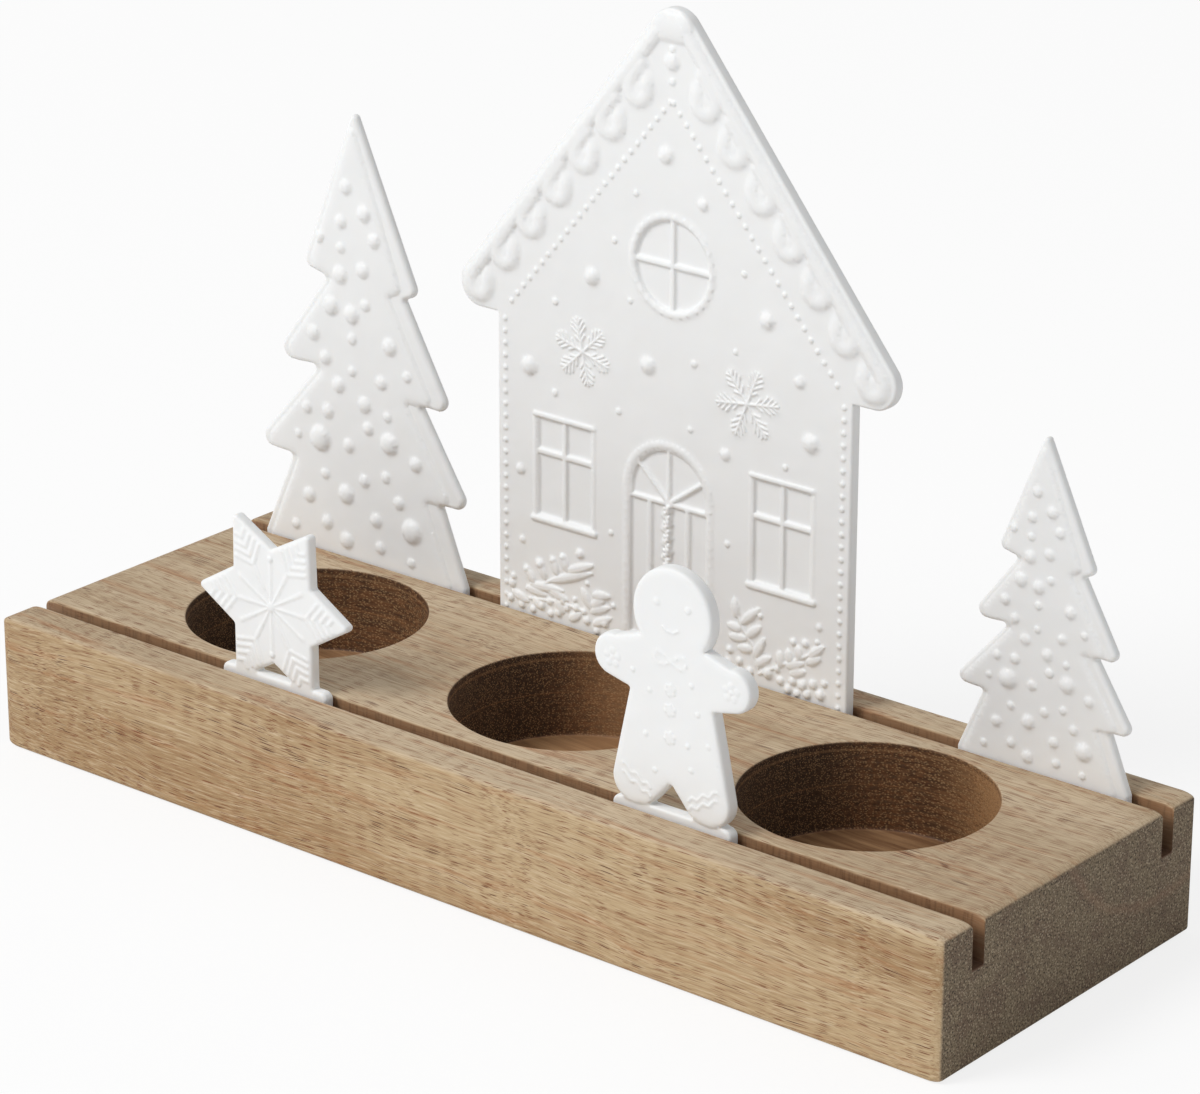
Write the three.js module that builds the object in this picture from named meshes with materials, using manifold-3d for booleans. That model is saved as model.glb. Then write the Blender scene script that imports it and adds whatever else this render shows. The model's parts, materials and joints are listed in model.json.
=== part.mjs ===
// A wooden candle holder: an oiled hardwood block with three round pockets for large tealights, and two
// grooves in which five unglazed porcelain figures stand: a house, two trees, a star and a gingerbread man.
// Millimetres, +Z up. The origin is the centre of the block's underside. +X runs to the right along the
// block, and -Y is the front, the side that the figures face.

import * as THREE from 'three';
import { mergeVertices } from 'three/addons/utils/BufferGeometryUtils.js';
import Module from 'manifold-3d';

const wasm = await Module();
wasm.setup();

// Block: pockets, the wood round them, and its eased edges
const pocketDiameter = 63.2;
const pocketDepth = 23.6;
const pocketPitch = 90.5;
const pocketCount = 3;
const pocketRimEase = 0.4;
const blockHeight = 36.5;
const grooveDepth = 12;
const grooveWeb = 4.95;
const frontLedge = 11.7;
const backLedge = 10;
const longEdgeRadius = 1.6;
const endEaseLength = 4;
const endEaseDrop = 1.2;

// What every figure shares: a plate that stands in its groove with a little play
const plateThickness = 3.4;
const plateEdge = 0.7;
const grooveSlack = 0.6;
const seatGap = 0.3;
const footWidth = 35.4;
const footRise = 1.6;
const footCorner = 2.2;

// Back row, from the block's left end to its right end: it sets the block's length
const leftEndWood = 9;
const treeBaseWidth = 72;
const treeToHouse = 12.5;
const houseWidth = 113;
const houseToSmallTree = 33;
const smallTreeScale = 0.687;
const rightEndWood = 11;

// Front row, from each end of the block to the figure's middle
const starFromLeftEnd = 85.3;
const manFromRightEnd = 87.1;

// House: heights are above the wood, and the roof's corners are round
const houseWallHeight = 80.2;
const houseHeight = 169.2;
const eaveOverhang = 12.5;
const eaveRadius = 6.5;
const apexRadius = 7.7;
const icingHeight = 0.9;
const icingRim = 1.6;
const icingLobes = 7;
const icingBandWidth = 5.2;
const topLobeOut = 10.7;
const topLobeDrop = 14.1;
const icingFurrowWidth = 0.9;
const icingFurrowDepth = 0.55;
const pipingEdge = 0.55;
const trimEdge = 0.3;
const paneDepth = 1.5;
const barWidth = 1.2;
const frameHeight = 0.5;
const roundWindowRadius = 13.4;
const roundWindowRing = 1.8;
const roundWindowHeight = 103.8;
const windowWidth = 21.6;
const windowHeight = 31;
const windowSill = 26;
const windowFromMiddle = 35.2;
const windowBarDrop = 11.5;
const lintelHeight = 1.6;
const sillHeight = 2.4;
const sillRise = 1;
const sillOverhang = 0.8;
const sillCorner = 1;
const doorWidth = 28;
const doorBoards = 4;
const doorThreshold = 3.6;
const doorSpring = 44;
const doorBarHeight = 41;
const doorFanBars = 3;

// Beads under the roof's cap: height above the wood, radius
const dropBeads = [[159.2, 0.9], [155.8, 2.1], [151, 0.9]];

// Snow dots on the house's wall: across, up from the wood, radius
const snowDots = [
  [-1.6, 132, 2.2], [9.9, 121.5, 1.6], [-25.1, 96, 2.2], [30.2, 96, 2.2], [40.4, 82.5, 1.6],
  [-6.9, 76.5, 2.3], [-45.8, 68, 2.4], [44.1, 67.5, 2.4], [17.7, 58.5, 1.6], [-48.8, 39.2, 1.5],
];

// Tree: half widths and heights of its tiers above the wood, largest tree
const treeHeight = 123;
const treeApexRadius = 1.2;
const tierTips = [[18.7, 78.5], [28.5, 51.3], [35.2, 24.6]];
const tierNotches = [[12.8, 76.6], [17, 50.2], [24.4, 23.2]];
const tierTipRadius = 2.6;
const tierNotchRadius = 1;
const treeBorder = 5;
const treeApexBorder = 4;
const treeBorderDrop = 0.8;

// Star: a six-pointed star that stands on two of its points
const starRadius = 26.5;
const starSink = 2.3;
const starTipTrim = 1;
const ribHeight = 0.5;
const ribWidth = 1.5;
const pointRibLength = 13;
const hollowRibLength = 11;
const chevronReaches = [13, 16.6, 20];
const chevronOpening = Math.PI / 3;
const chevronEdgeGap = 1;
const starBossRadius = 2;
const starBossRise = 0.8;

// Gingerbread man: round head, short arms, two feet
const manHeadRadius = 11.7;
const manHeadHeight = 51.3;
const manArmReach = 23.2;
const manArmRadius = 5.4;
const manArmHeight = 37;
const manNeckHalf = 9.6;
const manArmpitHalf = 12.6;
const manArmpitDrop = 7.2;
const manHipHalf = 17.5;
const manFootRadius = 6;
const manFootHeight = 7;
const manLegGapHeight = 8.8;
const manLegGapHalf = 6.9;
const manToeStart = 0.8;
const manEdge = 1.3;
const lineWidth = 1;
const fineLineWidth = 0.8;
const lineHeight = 0.45;
const lineEdge = 0.2;
const eyeFromMiddle = 4.4;
const eyeAboveCentre = 2.3;
const eyeLength = 2;
const smileHalf = 2.3;
const smileBelowCentre = 3.4;
const smileCurl = 0.7;
const bowHalf = 4;
const bowEndHalf = 1.6;
const buttonDrops = [7.4, 13, 19];
const buttonRadius = 1.8;
const buttonRise = 1;
const cuffFromMiddle = 6.4;
const cuffAboveFoot = 1.4;
const cuffRows = 2;
const cuffRowGap = 2.6;
const cuffWaves = 3;
const cuffWaveLength = 2.6;
const cuffWaveHeight = 1.1;
const cuffClimb = 0.9;

// Sizes that follow from those above
const pocketRadius = pocketDiameter / 2;
const grooveWidth = plateThickness + 2 * grooveSlack;
const footDepth = grooveDepth - seatGap;
const blockDepth = frontLedge + 2 * grooveWidth + 2 * grooveWeb + pocketDiameter + backLedge;
const frontGrooveY = -blockDepth / 2 + frontLedge + grooveWidth / 2;
const backGrooveY = blockDepth / 2 - backLedge - grooveWidth / 2;
const pocketY = (frontGrooveY + backGrooveY) / 2;
const smallTreeBaseWidth = treeBaseWidth * smallTreeScale;
const blockLength = leftEndWood + treeBaseWidth + treeToHouse + houseWidth + houseToSmallTree
  + smallTreeBaseWidth + rightEndWood;
const leftEnd = -blockLength / 2;
const rightEnd = blockLength / 2;
const treeLargeX = leftEnd + leftEndWood + treeBaseWidth / 2;
const houseX = treeLargeX + treeBaseWidth / 2 + treeToHouse + houseWidth / 2;
const treeSmallX = rightEnd - rightEndWood - smallTreeBaseWidth / 2;
const starX = leftEnd + starFromLeftEnd;
const manX = rightEnd - manFromRightEnd;

// Raised detail: how deep it is rooted in its plate, and the form of a piped dot
const bite = 0.3;
const domeRoot = 1.2;
const dotRise = 0.5;
const domeShoulder = [0.78, 0.68];
const smallDome = 2.4;
const front = plateThickness;

// Solids: a closed geometry becomes a manifold solid, and a finished solid a mesh
function solid(geometry) {
  geometry.deleteAttribute('normal');
  geometry.deleteAttribute('uv');
  const merged = mergeVertices(geometry, 1e-4);
  return new wasm.Manifold(new wasm.Mesh({
    numProp: 3,
    vertProperties: new Float32Array(merged.attributes.position.array),
    triVerts: new Uint32Array(merged.index.array),
  }));
}

function join(solids) {
  return solids.reduce((all, next) => all.add(next));
}

function meshOf(name, body, material) {
  const raw = body.getMesh();
  const geometry = new THREE.BufferGeometry();
  geometry.setAttribute('position', new THREE.BufferAttribute(raw.vertProperties, 3));
  geometry.setIndex(new THREE.BufferAttribute(raw.triVerts, 1));
  const mesh = new THREE.Mesh(geometry, material);
  mesh.name = name;
  return mesh;
}

// An outline drawn out from one depth to another, with its front and back edges eased by edge
function slab(shape, from, to, edge = 0, curveSegments = 6, edgeSteps = 1) {
  const bevelled = edge > 0;
  const geometry = new THREE.ExtrudeGeometry(shape, {
    depth: to - from - (bevelled ? 2 * edge : 0),
    bevelEnabled: bevelled,
    bevelThickness: edge,
    bevelSize: edge,
    bevelOffset: -edge,
    bevelSegments: edgeSteps,
    curveSegments,
  });
  geometry.translate(0, 0, from + edge);
  return solid(geometry);
}

// A polygon whose corners are [x, y, radius of the corner], each radius a true arc
function roundedShape(corners) {
  const shape = new THREE.Shape();
  const count = corners.length;
  corners.forEach(([x, y, radius = 0], i) => {
    const corner = new THREE.Vector2(x, y);
    const [px, py] = corners[(i + count - 1) % count];
    const [nx, ny] = corners[(i + 1) % count];
    const back = new THREE.Vector2(px, py).sub(corner);
    const ahead = new THREE.Vector2(nx, ny).sub(corner);
    const room = Math.min(back.length(), ahead.length()) / 2.2;
    back.normalize();
    ahead.normalize();
    const half = Math.acos(back.dot(ahead)) / 2;
    const arc = Math.min(radius, room * Math.tan(half));
    if (arc > 0) {
      const centre = back.clone().add(ahead).setLength(arc / Math.sin(half)).add(corner);
      const start = corner.clone().addScaledVector(back, arc / Math.tan(half)).sub(centre);
      const end = corner.clone().addScaledVector(ahead, arc / Math.tan(half)).sub(centre);
      shape.absarc(centre.x, centre.y, arc, start.angle(), end.angle(), back.cross(ahead) > 0);
    } else if (i === 0) {
      shape.moveTo(x, y);
    } else {
      shape.lineTo(x, y);
    }
  });
  shape.closePath();
  return shape;
}

// A straight stroke with round ends
function strokeShape([x0, y0], [x1, y1], width) {
  const radius = width / 2;
  const angle = Math.atan2(y1 - y0, x1 - x0);
  const shape = new THREE.Shape();
  shape.absarc(x1, y1, radius, angle - Math.PI / 2, angle + Math.PI / 2, false);
  shape.absarc(x0, y0, radius, angle + Math.PI / 2, angle + 1.5 * Math.PI, false);
  shape.closePath();
  return shape;
}

function discShape(x, y, radius) {
  const shape = new THREE.Shape();
  shape.absarc(x, y, radius, 0, 2 * Math.PI, false);
  return shape;
}

function rectShape(x0, y0, x1, y1, radius = 0) {
  return roundedShape([[x0, y0, radius], [x1, y0, radius], [x1, y1, radius], [x0, y1, radius]]);
}

// A low round dome on a plate's face
function dome(x, y, radius, rise) {
  const sides = radius < smallDome ? 6 : 8;
  const [shoulderOut, shoulderUp] = domeShoulder;
  const profile = [
    new THREE.Vector2(0, -domeRoot),
    new THREE.Vector2(radius, -domeRoot),
    new THREE.Vector2(radius, 0),
    new THREE.Vector2(radius * shoulderOut, rise * shoulderUp),
    new THREE.Vector2(0, rise),
  ];
  const geometry = new THREE.LatheGeometry(profile, sides);
  geometry.rotateX(Math.PI / 2);
  geometry.translate(x, y, front);
  return solid(geometry);
}

// The wooden block
function woodBlock() {
  const half = blockDepth / 2;
  const section = rectShape(-half, 0, half, blockHeight, longEdgeRadius);
  const geometry = new THREE.ExtrudeGeometry(section, {
    depth: blockLength - 2 * endEaseLength,
    bevelEnabled: true,
    bevelThickness: endEaseLength,
    bevelSize: endEaseDrop,
    bevelOffset: -endEaseDrop,
    bevelSegments: 3,
    curveSegments: 3,
  });
  geometry.translate(0, 0, leftEnd + endEaseLength);
  const along = new THREE.Matrix4().makeBasis(
    new THREE.Vector3(0, 1, 0), new THREE.Vector3(0, 0, 1), new THREE.Vector3(1, 0, 0));
  geometry.applyMatrix4(along);
  let block = solid(geometry);
  const over = 1;
  for (const y of [frontGrooveY, backGrooveY]) {
    const cut = new THREE.BoxGeometry(blockLength + 2 * over, grooveWidth, grooveDepth + over);
    cut.translate(0, y, blockHeight + over - (grooveDepth + over) / 2);
    block = block.subtract(solid(cut));
  }
  const profile = [
    new THREE.Vector2(0, blockHeight - pocketDepth),
    new THREE.Vector2(pocketRadius, blockHeight - pocketDepth),
    new THREE.Vector2(pocketRadius, blockHeight - pocketRimEase),
    new THREE.Vector2(pocketRadius + pocketRimEase, blockHeight),
    new THREE.Vector2(pocketRadius + pocketRimEase, blockHeight + over),
    new THREE.Vector2(0, blockHeight + over),
  ];
  for (let i = 0; i < pocketCount; i += 1) {
    const cut = new THREE.LatheGeometry(profile, 56);
    cut.rotateX(Math.PI / 2);
    cut.translate((i - (pocketCount - 1) / 2) * pocketPitch, pocketY, 0);
    block = block.subtract(solid(cut));
  }
  return block;
}

// The house: geometry of its gable, shared by the plate and its icing
const eave = new THREE.Vector2(houseWidth / 2 + eaveOverhang - eaveRadius, houseWallHeight + eaveRadius);
const apex = new THREE.Vector2(0, houseHeight - apexRadius);
const slope = apex.clone().sub(eave);
const slopeNormal = slope.angle() - Math.acos((eaveRadius - apexRadius) / slope.length());
const normal = new THREE.Vector2(Math.cos(slopeNormal), Math.sin(slopeNormal));

function houseShape(inset = 0) {
  const wall = houseWidth / 2 - inset;
  const shape = new THREE.Shape();
  shape.moveTo(-wall, -footDepth);
  shape.lineTo(wall, -footDepth);
  shape.lineTo(wall, houseWallHeight + inset);
  shape.absarc(eave.x, eave.y, eaveRadius - inset, -Math.PI / 2, slopeNormal, false);
  shape.absarc(apex.x, apex.y, apexRadius - inset, slopeNormal, Math.PI - slopeNormal, false);
  shape.absarc(-eave.x, eave.y, eaveRadius - inset, Math.PI - slopeNormal, 1.5 * Math.PI, false);
  shape.lineTo(-wall, houseWallHeight + inset);
  shape.closePath();
  return shape;
}

// Piped icing: a band down each slope with hanging lobes, and a furrow drawn into each lobe.
// A furrow's foot and head are given from the lobe's centre in lobe radii: away from the apex, and up.
const furrowFoot = [0.2, 0.45];
const furrowHead = [-0.75, 1.8];

function roofIcing() {
  const top = front + icingHeight;
  const lobeRadius = eaveRadius - icingRim;
  const bandRadius = icingBandWidth / 2;
  const topLobe = new THREE.Vector2(topLobeOut, apex.y - topLobeDrop);
  const bandLow = eave.clone().addScaledVector(normal, eaveRadius - icingRim - bandRadius);
  const bandHigh = apex.clone().addScaledVector(normal, apexRadius - icingRim - bandRadius);
  const raised = [];
  const furrows = [];
  for (const side of [-1, 1]) {
    raised.push(slab(
      strokeShape([side * bandLow.x, bandLow.y], [side * bandHigh.x, bandHigh.y], icingBandWidth),
      front - bite, top, trimEdge));
    for (let i = 0; i < icingLobes; i += 1) {
      const lobe = topLobe.clone().lerp(eave, i / (icingLobes - 1));
      const tail = lobe.y + 2 * lobeRadius;
      raised.push(slab(
        strokeShape([side * lobe.x, lobe.y], [side * lobe.x, tail], 2 * lobeRadius),
        front - bite, top, pipingEdge, 3));
      furrows.push(slab(
        strokeShape(
          [side * (lobe.x + lobeRadius * furrowFoot[0]), lobe.y + lobeRadius * furrowFoot[1]],
          [side * (lobe.x + lobeRadius * furrowHead[0]), lobe.y + lobeRadius * furrowHead[1]],
          icingFurrowWidth),
        top - icingFurrowDepth, top + bite, 0, 1));
    }
  }
  const cap = slab(discShape(0, apex.y, apexRadius - icingRim), front - bite, top, trimEdge, 4);
  const underCap = slab(
    rectShape(-apexRadius, apex.y - 2 * apexRadius, apexRadius, apex.y - trimEdge), 0, top + 1);
  const inside = slab(houseShape(icingRim), front - 2 * bite, top + 1, 0, 4);
  return join(raised).add(cap.subtract(underCap)).intersect(inside).subtract(join(furrows));
}

// A window or door opening: the area of the panes, less the bars that stay
function panes(area, bars) {
  const open = slab(area, front - paneDepth, front + 1, 0, 6);
  const kept = bars.map((bar) => slab(bar, 0, front + 2));
  return open.subtract(join(kept));
}

function roundWindow() {
  const y = roundWindowHeight;
  const inner = roundWindowRadius - roundWindowRing;
  const ring = discShape(0, y, roundWindowRadius);
  ring.holes.push(discShape(0, y, inner));
  const half = barWidth / 2;
  return {
    cut: panes(discShape(0, y, inner), [
      rectShape(-half, y - inner - 1, half, y + inner + 1),
      rectShape(-inner - 1, y - half, inner + 1, y + half),
    ]),
    raised: slab(ring, front - bite, front + frameHeight, trimEdge, 8),
  };
}

function sashWindow(x) {
  const left = x - windowWidth / 2;
  const right = x + windowWidth / 2;
  const topY = windowSill + windowHeight;
  const half = barWidth / 2;
  const bar = topY - windowBarDrop;
  return {
    cut: panes(rectShape(left + barWidth, windowSill + sillHeight, right - barWidth, topY - barWidth), [
      rectShape(x - half, windowSill, x + half, topY),
      rectShape(left, bar - half, right, bar + half),
    ]),
    raised: join([
      slab(rectShape(left, topY - lintelHeight, right, topY), front - bite, front + frameHeight, trimEdge),
      slab(
        rectShape(left - sillOverhang, windowSill, right + sillOverhang, windowSill + sillHeight, sillCorner),
        front - bite, front + sillRise, trimEdge),
    ]),
  };
}

function door() {
  const outer = doorWidth / 2;
  const inner = outer - barWidth;
  const half = barWidth / 2;
  const archShape = (radius, bottom) => {
    const shape = new THREE.Shape();
    shape.moveTo(-radius, bottom);
    shape.lineTo(radius, bottom);
    shape.absarc(0, doorSpring, radius, 0, Math.PI, false);
    shape.closePath();
    return shape;
  };
  const bars = [rectShape(-outer, doorBarHeight - half, outer, doorBarHeight + half)];
  const boardWidth = 2 * inner / doorBoards;
  for (let i = 1; i < doorBoards; i += 1) {
    const x = -inner + i * boardWidth;
    bars.push(rectShape(x - half, 0, x + half, doorBarHeight));
  }
  const crown = outer + doorSpring - doorBarHeight;
  for (let i = 1; i <= doorFanBars; i += 1) {
    const angle = i * Math.PI / (doorFanBars + 1);
    const tip = [crown * Math.cos(angle), doorBarHeight + crown * Math.sin(angle)];
    bars.push(strokeShape([0, doorBarHeight], tip, barWidth));
  }
  const frame = archShape(outer, doorThreshold - barWidth);
  frame.holes.push(archShape(inner, doorThreshold));
  return {
    cut: panes(archShape(inner, doorThreshold), bars),
    raised: slab(frame, front - bite, front + frameHeight, trimEdge, 6),
  };
}

function house() {
  const openings = [roundWindow(), sashWindow(-windowFromMiddle), sashWindow(windowFromMiddle), door()];
  const drops = dropBeads.map(([y, radius]) => dome(0, y, radius, radius * dotRise));
  const snow = snowDots.map(([x, y, radius]) => dome(x, y, radius, radius * dotRise));
  return join([
    slab(houseShape(), 0, front, plateEdge, 4, 2).subtract(join(openings.map((opening) => opening.cut))),
    roofIcing(),
    ...openings.map((opening) => opening.raised),
    ...drops,
    ...snow,
  ]);
}

// Piped dots on the trees, placed by hand: across, up from the wood, radius, on the largest tree
const treeDots = [
  [-3, 103.3, 2], [3.3, 97.1, 2.2], [-5, 93.5, 1.9], [6.6, 90.4, 2], [-12.9, 87.9, 1.7],
  [-5.2, 86.3, 1.5], [2.4, 81.5, 2.1], [-5.6, 78.8, 2.4], [3.2, 72.1, 1.6], [-9.2, 69.6, 2.6],
  [-1.8, 68.5, 2.5], [11.5, 62.4, 2.3], [-1.8, 61.8, 1.6], [-15.7, 60.7, 2.1], [-11.5, 54.6, 1.9],
  [17.4, 55.4, 1.5], [-2, 52.8, 1.4], [8.3, 51.7, 1.9], [-7, 47.9, 2.1], [2.2, 44.3, 2.2],
  [10.2, 42.6, 1.4], [-18.7, 39.1, 1.7], [-11.1, 39.6, 2], [3.3, 37.9, 1.8], [10.8, 35.2, 2.9],
  [-14, 31.3, 3.5], [-22, 30.9, 1.3], [-3.8, 31.5, 1.9], [20, 31.6, 2], [9.3, 25.5, 1.6],
  [1.6, 22.7, 1.8], [-12.5, 21.6, 1.5], [13.8, 19.3, 1.8], [-5.1, 17.4, 2.6], [-18.6, 14.1, 2.1],
  [5.6, 12.4, 2], [18.2, 12.2, 3.3], [-12.2, 7.7, 1.9], [-23.7, 4.6, 1.5], [6.9, 4.9, 1.7],
  [17.9, 3.3, 1.4], [-5.2, 4.1, 2.3],
];

function treeShape(scale, border = 0, apexBorder = 0) {
  const right = [];
  tierTips.forEach(([tipHalf, tipHeight], i) => {
    const [notchHalf, notchHeight] = tierNotches[i];
    right.push([tipHalf - border, tipHeight, tierTipRadius]);
    right.push([notchHalf - border, notchHeight, tierNotchRadius]);
  });
  right.push([treeBaseWidth / 2 - border, 0]);
  const [topTipHalf, topTipHeight] = tierTips[0];
  const apexHalfAngle = Math.atan2(topTipHalf, treeHeight - topTipHeight);
  const aboveArc = treeApexRadius * (1 / Math.sin(apexHalfAngle) - 1);
  const corners = [[0, treeHeight + aboveArc - apexBorder, treeApexRadius], ...right];
  const scaled = corners.map(([x, y, radius = 0]) => [x * scale, y * scale, radius * scale]);
  const footX = (treeBaseWidth / 2 - border) * scale;
  const all = [
    ...scaled.slice(1).map(([x, y, radius]) => [-x, y, radius]),
    [-footX, -footDepth],
    [footX, -footDepth],
    ...scaled.slice(1).reverse(),
    scaled[0],
  ];
  return roundedShape(all);
}

function tree(scale) {
  const drop = treeBorderDrop * Math.sqrt(scale);
  const plate = slab(treeShape(scale), 0, front - drop, plateEdge * scale, 1, 2);
  const fieldShape = treeShape(scale, treeBorder, treeApexBorder);
  const field = slab(fieldShape, front - drop - bite, front, drop / 2, 1);
  const dots = treeDots.map(
    ([x, y, radius]) => dome(x * scale, y * scale, radius * scale, radius * scale * dotRise));
  return join([plate, field, ...dots]);
}

// The foot bar of the small figures, which fills their groove below the wood's surface
function footBar() {
  const half = footWidth / 2;
  const corners = [
    [-half, -footDepth],
    [half, -footDepth],
    [half, footRise, footCorner],
    [-half, footRise, footCorner],
  ];
  return slab(roundedShape(corners), 0, front, plateEdge, 3);
}

function star() {
  const centreY = starRadius * Math.cos(Math.PI / 6) - starSink;
  const notchRadius = starRadius / Math.sqrt(3);
  const corners = [];
  for (let i = 0; i < 6; i += 1) {
    const tip = i * Math.PI / 3;
    const notch = tip + Math.PI / 6;
    corners.push([starRadius * Math.cos(tip), centreY + starRadius * Math.sin(tip)]);
    corners.push([notchRadius * Math.cos(notch), centreY + notchRadius * Math.sin(notch)]);
  }
  const blunt = slab(discShape(0, centreY, starRadius - starTipTrim), 0, front, 0, 24);
  const top = front + ribHeight;
  const at = (angle, radius, aside = 0) => [
    radius * Math.cos(angle) - aside * Math.sin(angle),
    centreY + radius * Math.sin(angle) + aside * Math.cos(angle),
  ];
  const ribs = [];
  for (let i = 0; i < 6; i += 1) {
    const point = i * Math.PI / 3;
    const hollow = point + Math.PI / 6;
    ribs.push(strokeShape(at(point, 0), at(point, pointRibLength), ribWidth));
    ribs.push(strokeShape(at(hollow, 0), at(hollow, hollowRibLength), ribWidth));
    for (const reach of chevronReaches) {
      const arm = (starRadius - reach) / 2 - chevronEdgeGap;
      const armOut = reach + arm * Math.cos(chevronOpening);
      const armAside = arm * Math.sin(chevronOpening);
      for (const side of [-1, 1]) {
        ribs.push(strokeShape(at(point, reach), at(point, armOut, side * armAside), lineWidth));
      }
    }
  }
  const raised = ribs.map((rib) => slab(rib, front - bite, top, lineEdge, 1));
  return join([
    slab(roundedShape(corners), 0, front, plateEdge, 1, 2).intersect(blunt),
    footBar(),
    dome(0, centreY, starBossRadius, starBossRise),
    ...raised,
  ]);
}

function manShape() {
  const footX = manHipHalf - manFootRadius;
  const armX = manArmReach - manArmRadius;
  const armpitY = manArmHeight - manArmpitDrop;
  const neckY = manHeadHeight - Math.sqrt(manHeadRadius ** 2 - manNeckHalf ** 2);
  const neckAngle = Math.atan2(neckY - manHeadHeight, manNeckHalf);
  const lean = Math.atan2(manHipHalf - manArmpitHalf, armpitY - manFootHeight);
  const half = Math.PI / 2;
  const sole = manFootHeight - manFootRadius;
  const toeX = manToeStart * manLegGapHalf;
  const toeY = manLegGapHeight + manToeStart * (sole - manLegGapHeight);
  const shape = new THREE.Shape();
  shape.moveTo(0, manLegGapHeight);
  shape.lineTo(toeX, toeY);
  shape.quadraticCurveTo(manLegGapHalf, sole, footX, sole);
  shape.absarc(footX, manFootHeight, manFootRadius, -half, lean, false);
  shape.lineTo(manArmpitHalf, armpitY);
  shape.absarc(armX, manArmHeight, manArmRadius, -0.86 * half, 1.1 * half, false);
  shape.absarc(0, manHeadHeight, manHeadRadius, neckAngle, Math.PI - neckAngle, false);
  shape.absarc(-armX, manArmHeight, manArmRadius, 0.9 * half, 2.86 * half, false);
  shape.lineTo(-manArmpitHalf, armpitY);
  shape.absarc(-footX, manFootHeight, manFootRadius, Math.PI - lean, 3 * half, false);
  shape.quadraticCurveTo(-manLegGapHalf, sole, -toeX, toeY);
  shape.closePath();
  return shape;
}

function gingerbreadMan() {
  const top = front + lineHeight;
  const line = (from, to, width = lineWidth) =>
    slab(strokeShape(from, to, width), front - bite, top, lineEdge, 1);
  const collar = manHeadHeight - manHeadRadius;
  const eyeY = manHeadHeight + eyeAboveCentre;
  const smileY = manHeadHeight - smileBelowCentre;
  const details = buttonDrops.map((drop) => dome(0, collar - drop, buttonRadius, buttonRise));
  for (const side of [-1, 1]) {
    const eyeX = side * eyeFromMiddle;
    details.push(line([eyeX - eyeLength / 2, eyeY], [eyeX + eyeLength / 2, eyeY], fineLineWidth));
    details.push(line([0, smileY], [side * smileHalf, smileY + smileCurl], fineLineWidth));
    details.push(line([0, collar], [side * bowHalf, collar + bowEndHalf]));
    details.push(line([0, collar], [side * bowHalf, collar - bowEndHalf]));
    details.push(line([side * bowHalf, collar + bowEndHalf], [side * bowHalf, collar - bowEndHalf]));
    for (let row = 0; row < cuffRows; row += 1) {
      const waveAt = (i) => [
        side * (cuffFromMiddle + cuffWaveLength * i),
        manFootHeight + cuffAboveFoot - row * cuffRowGap + cuffClimb * i + (i % 2) * cuffWaveHeight,
      ];
      for (let i = 0; i < cuffWaves; i += 1) {
        details.push(line(waveAt(i), waveAt(i + 1), fineLineWidth));
      }
    }
  }
  return join([slab(manShape(), 0, front, manEdge, 6, 2), footBar(), ...details]);
}

// The object: each figure is upright in its groove, its face to the front
const wood = new THREE.MeshStandardMaterial({ color: 0xa8875f, roughness: 0.6, metalness: 0 });
const porcelain = () => new THREE.MeshStandardMaterial({ color: 0xf1f0ec, roughness: 0.65, metalness: 0 });

const candleHolder = new THREE.Group();
candleHolder.name = 'candle_holder';
candleHolder.add(meshOf('wood_block', woodBlock(), wood));

function stand(name, body, x, grooveY) {
  const mesh = meshOf(name, body, porcelain());
  mesh.rotation.x = Math.PI / 2;
  mesh.position.set(x, grooveY + plateThickness / 2, blockHeight);
  candleHolder.add(mesh);
}

stand('house', house(), houseX, backGrooveY);
stand('tree_large', tree(1), treeLargeX, backGrooveY);
stand('tree_small', tree(smallTreeScale), treeSmallX, backGrooveY);
stand('star', star(), starX, frontGrooveY);
stand('gingerbread_man', gingerbreadMan(), manX, frontGrooveY);

export default candleHolder;
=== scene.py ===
# %% [markdown]
# # A wooden candle holder with porcelain figures
# The holder is one oiled hardwood block with three round pockets for large tealights, and two saw-cut
# grooves in which five bisque porcelain plates stand: a house, two trees, a star and a gingerbread man.
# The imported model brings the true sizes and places. Here every piece is made again as a fine mesh in the
# same place, and gets its finish. All relief is worked out in millimetres and turned into metres at the end.

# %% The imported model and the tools
import json
import math

import bpy
import numpy as np
from mathutils import Matrix, Vector
from mathutils.bvhtree import BVHTree
from mathutils.geometry import delaunay_2d_cdt


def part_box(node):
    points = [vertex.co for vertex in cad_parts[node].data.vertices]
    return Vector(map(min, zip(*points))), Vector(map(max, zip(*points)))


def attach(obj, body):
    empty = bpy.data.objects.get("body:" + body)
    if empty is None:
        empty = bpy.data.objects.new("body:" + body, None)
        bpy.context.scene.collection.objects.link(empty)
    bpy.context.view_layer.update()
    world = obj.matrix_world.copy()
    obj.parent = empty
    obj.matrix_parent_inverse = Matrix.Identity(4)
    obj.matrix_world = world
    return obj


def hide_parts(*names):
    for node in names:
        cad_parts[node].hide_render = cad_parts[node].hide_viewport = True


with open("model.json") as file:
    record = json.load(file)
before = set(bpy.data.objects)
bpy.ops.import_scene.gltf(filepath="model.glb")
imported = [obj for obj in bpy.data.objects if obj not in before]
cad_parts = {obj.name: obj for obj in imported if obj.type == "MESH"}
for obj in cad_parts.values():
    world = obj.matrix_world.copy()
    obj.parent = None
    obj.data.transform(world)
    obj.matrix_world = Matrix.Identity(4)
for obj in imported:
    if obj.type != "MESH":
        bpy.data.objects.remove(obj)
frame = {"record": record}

MM = 0.001
scene = bpy.context.scene
scene.view_settings.view_transform = "Standard"
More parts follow.
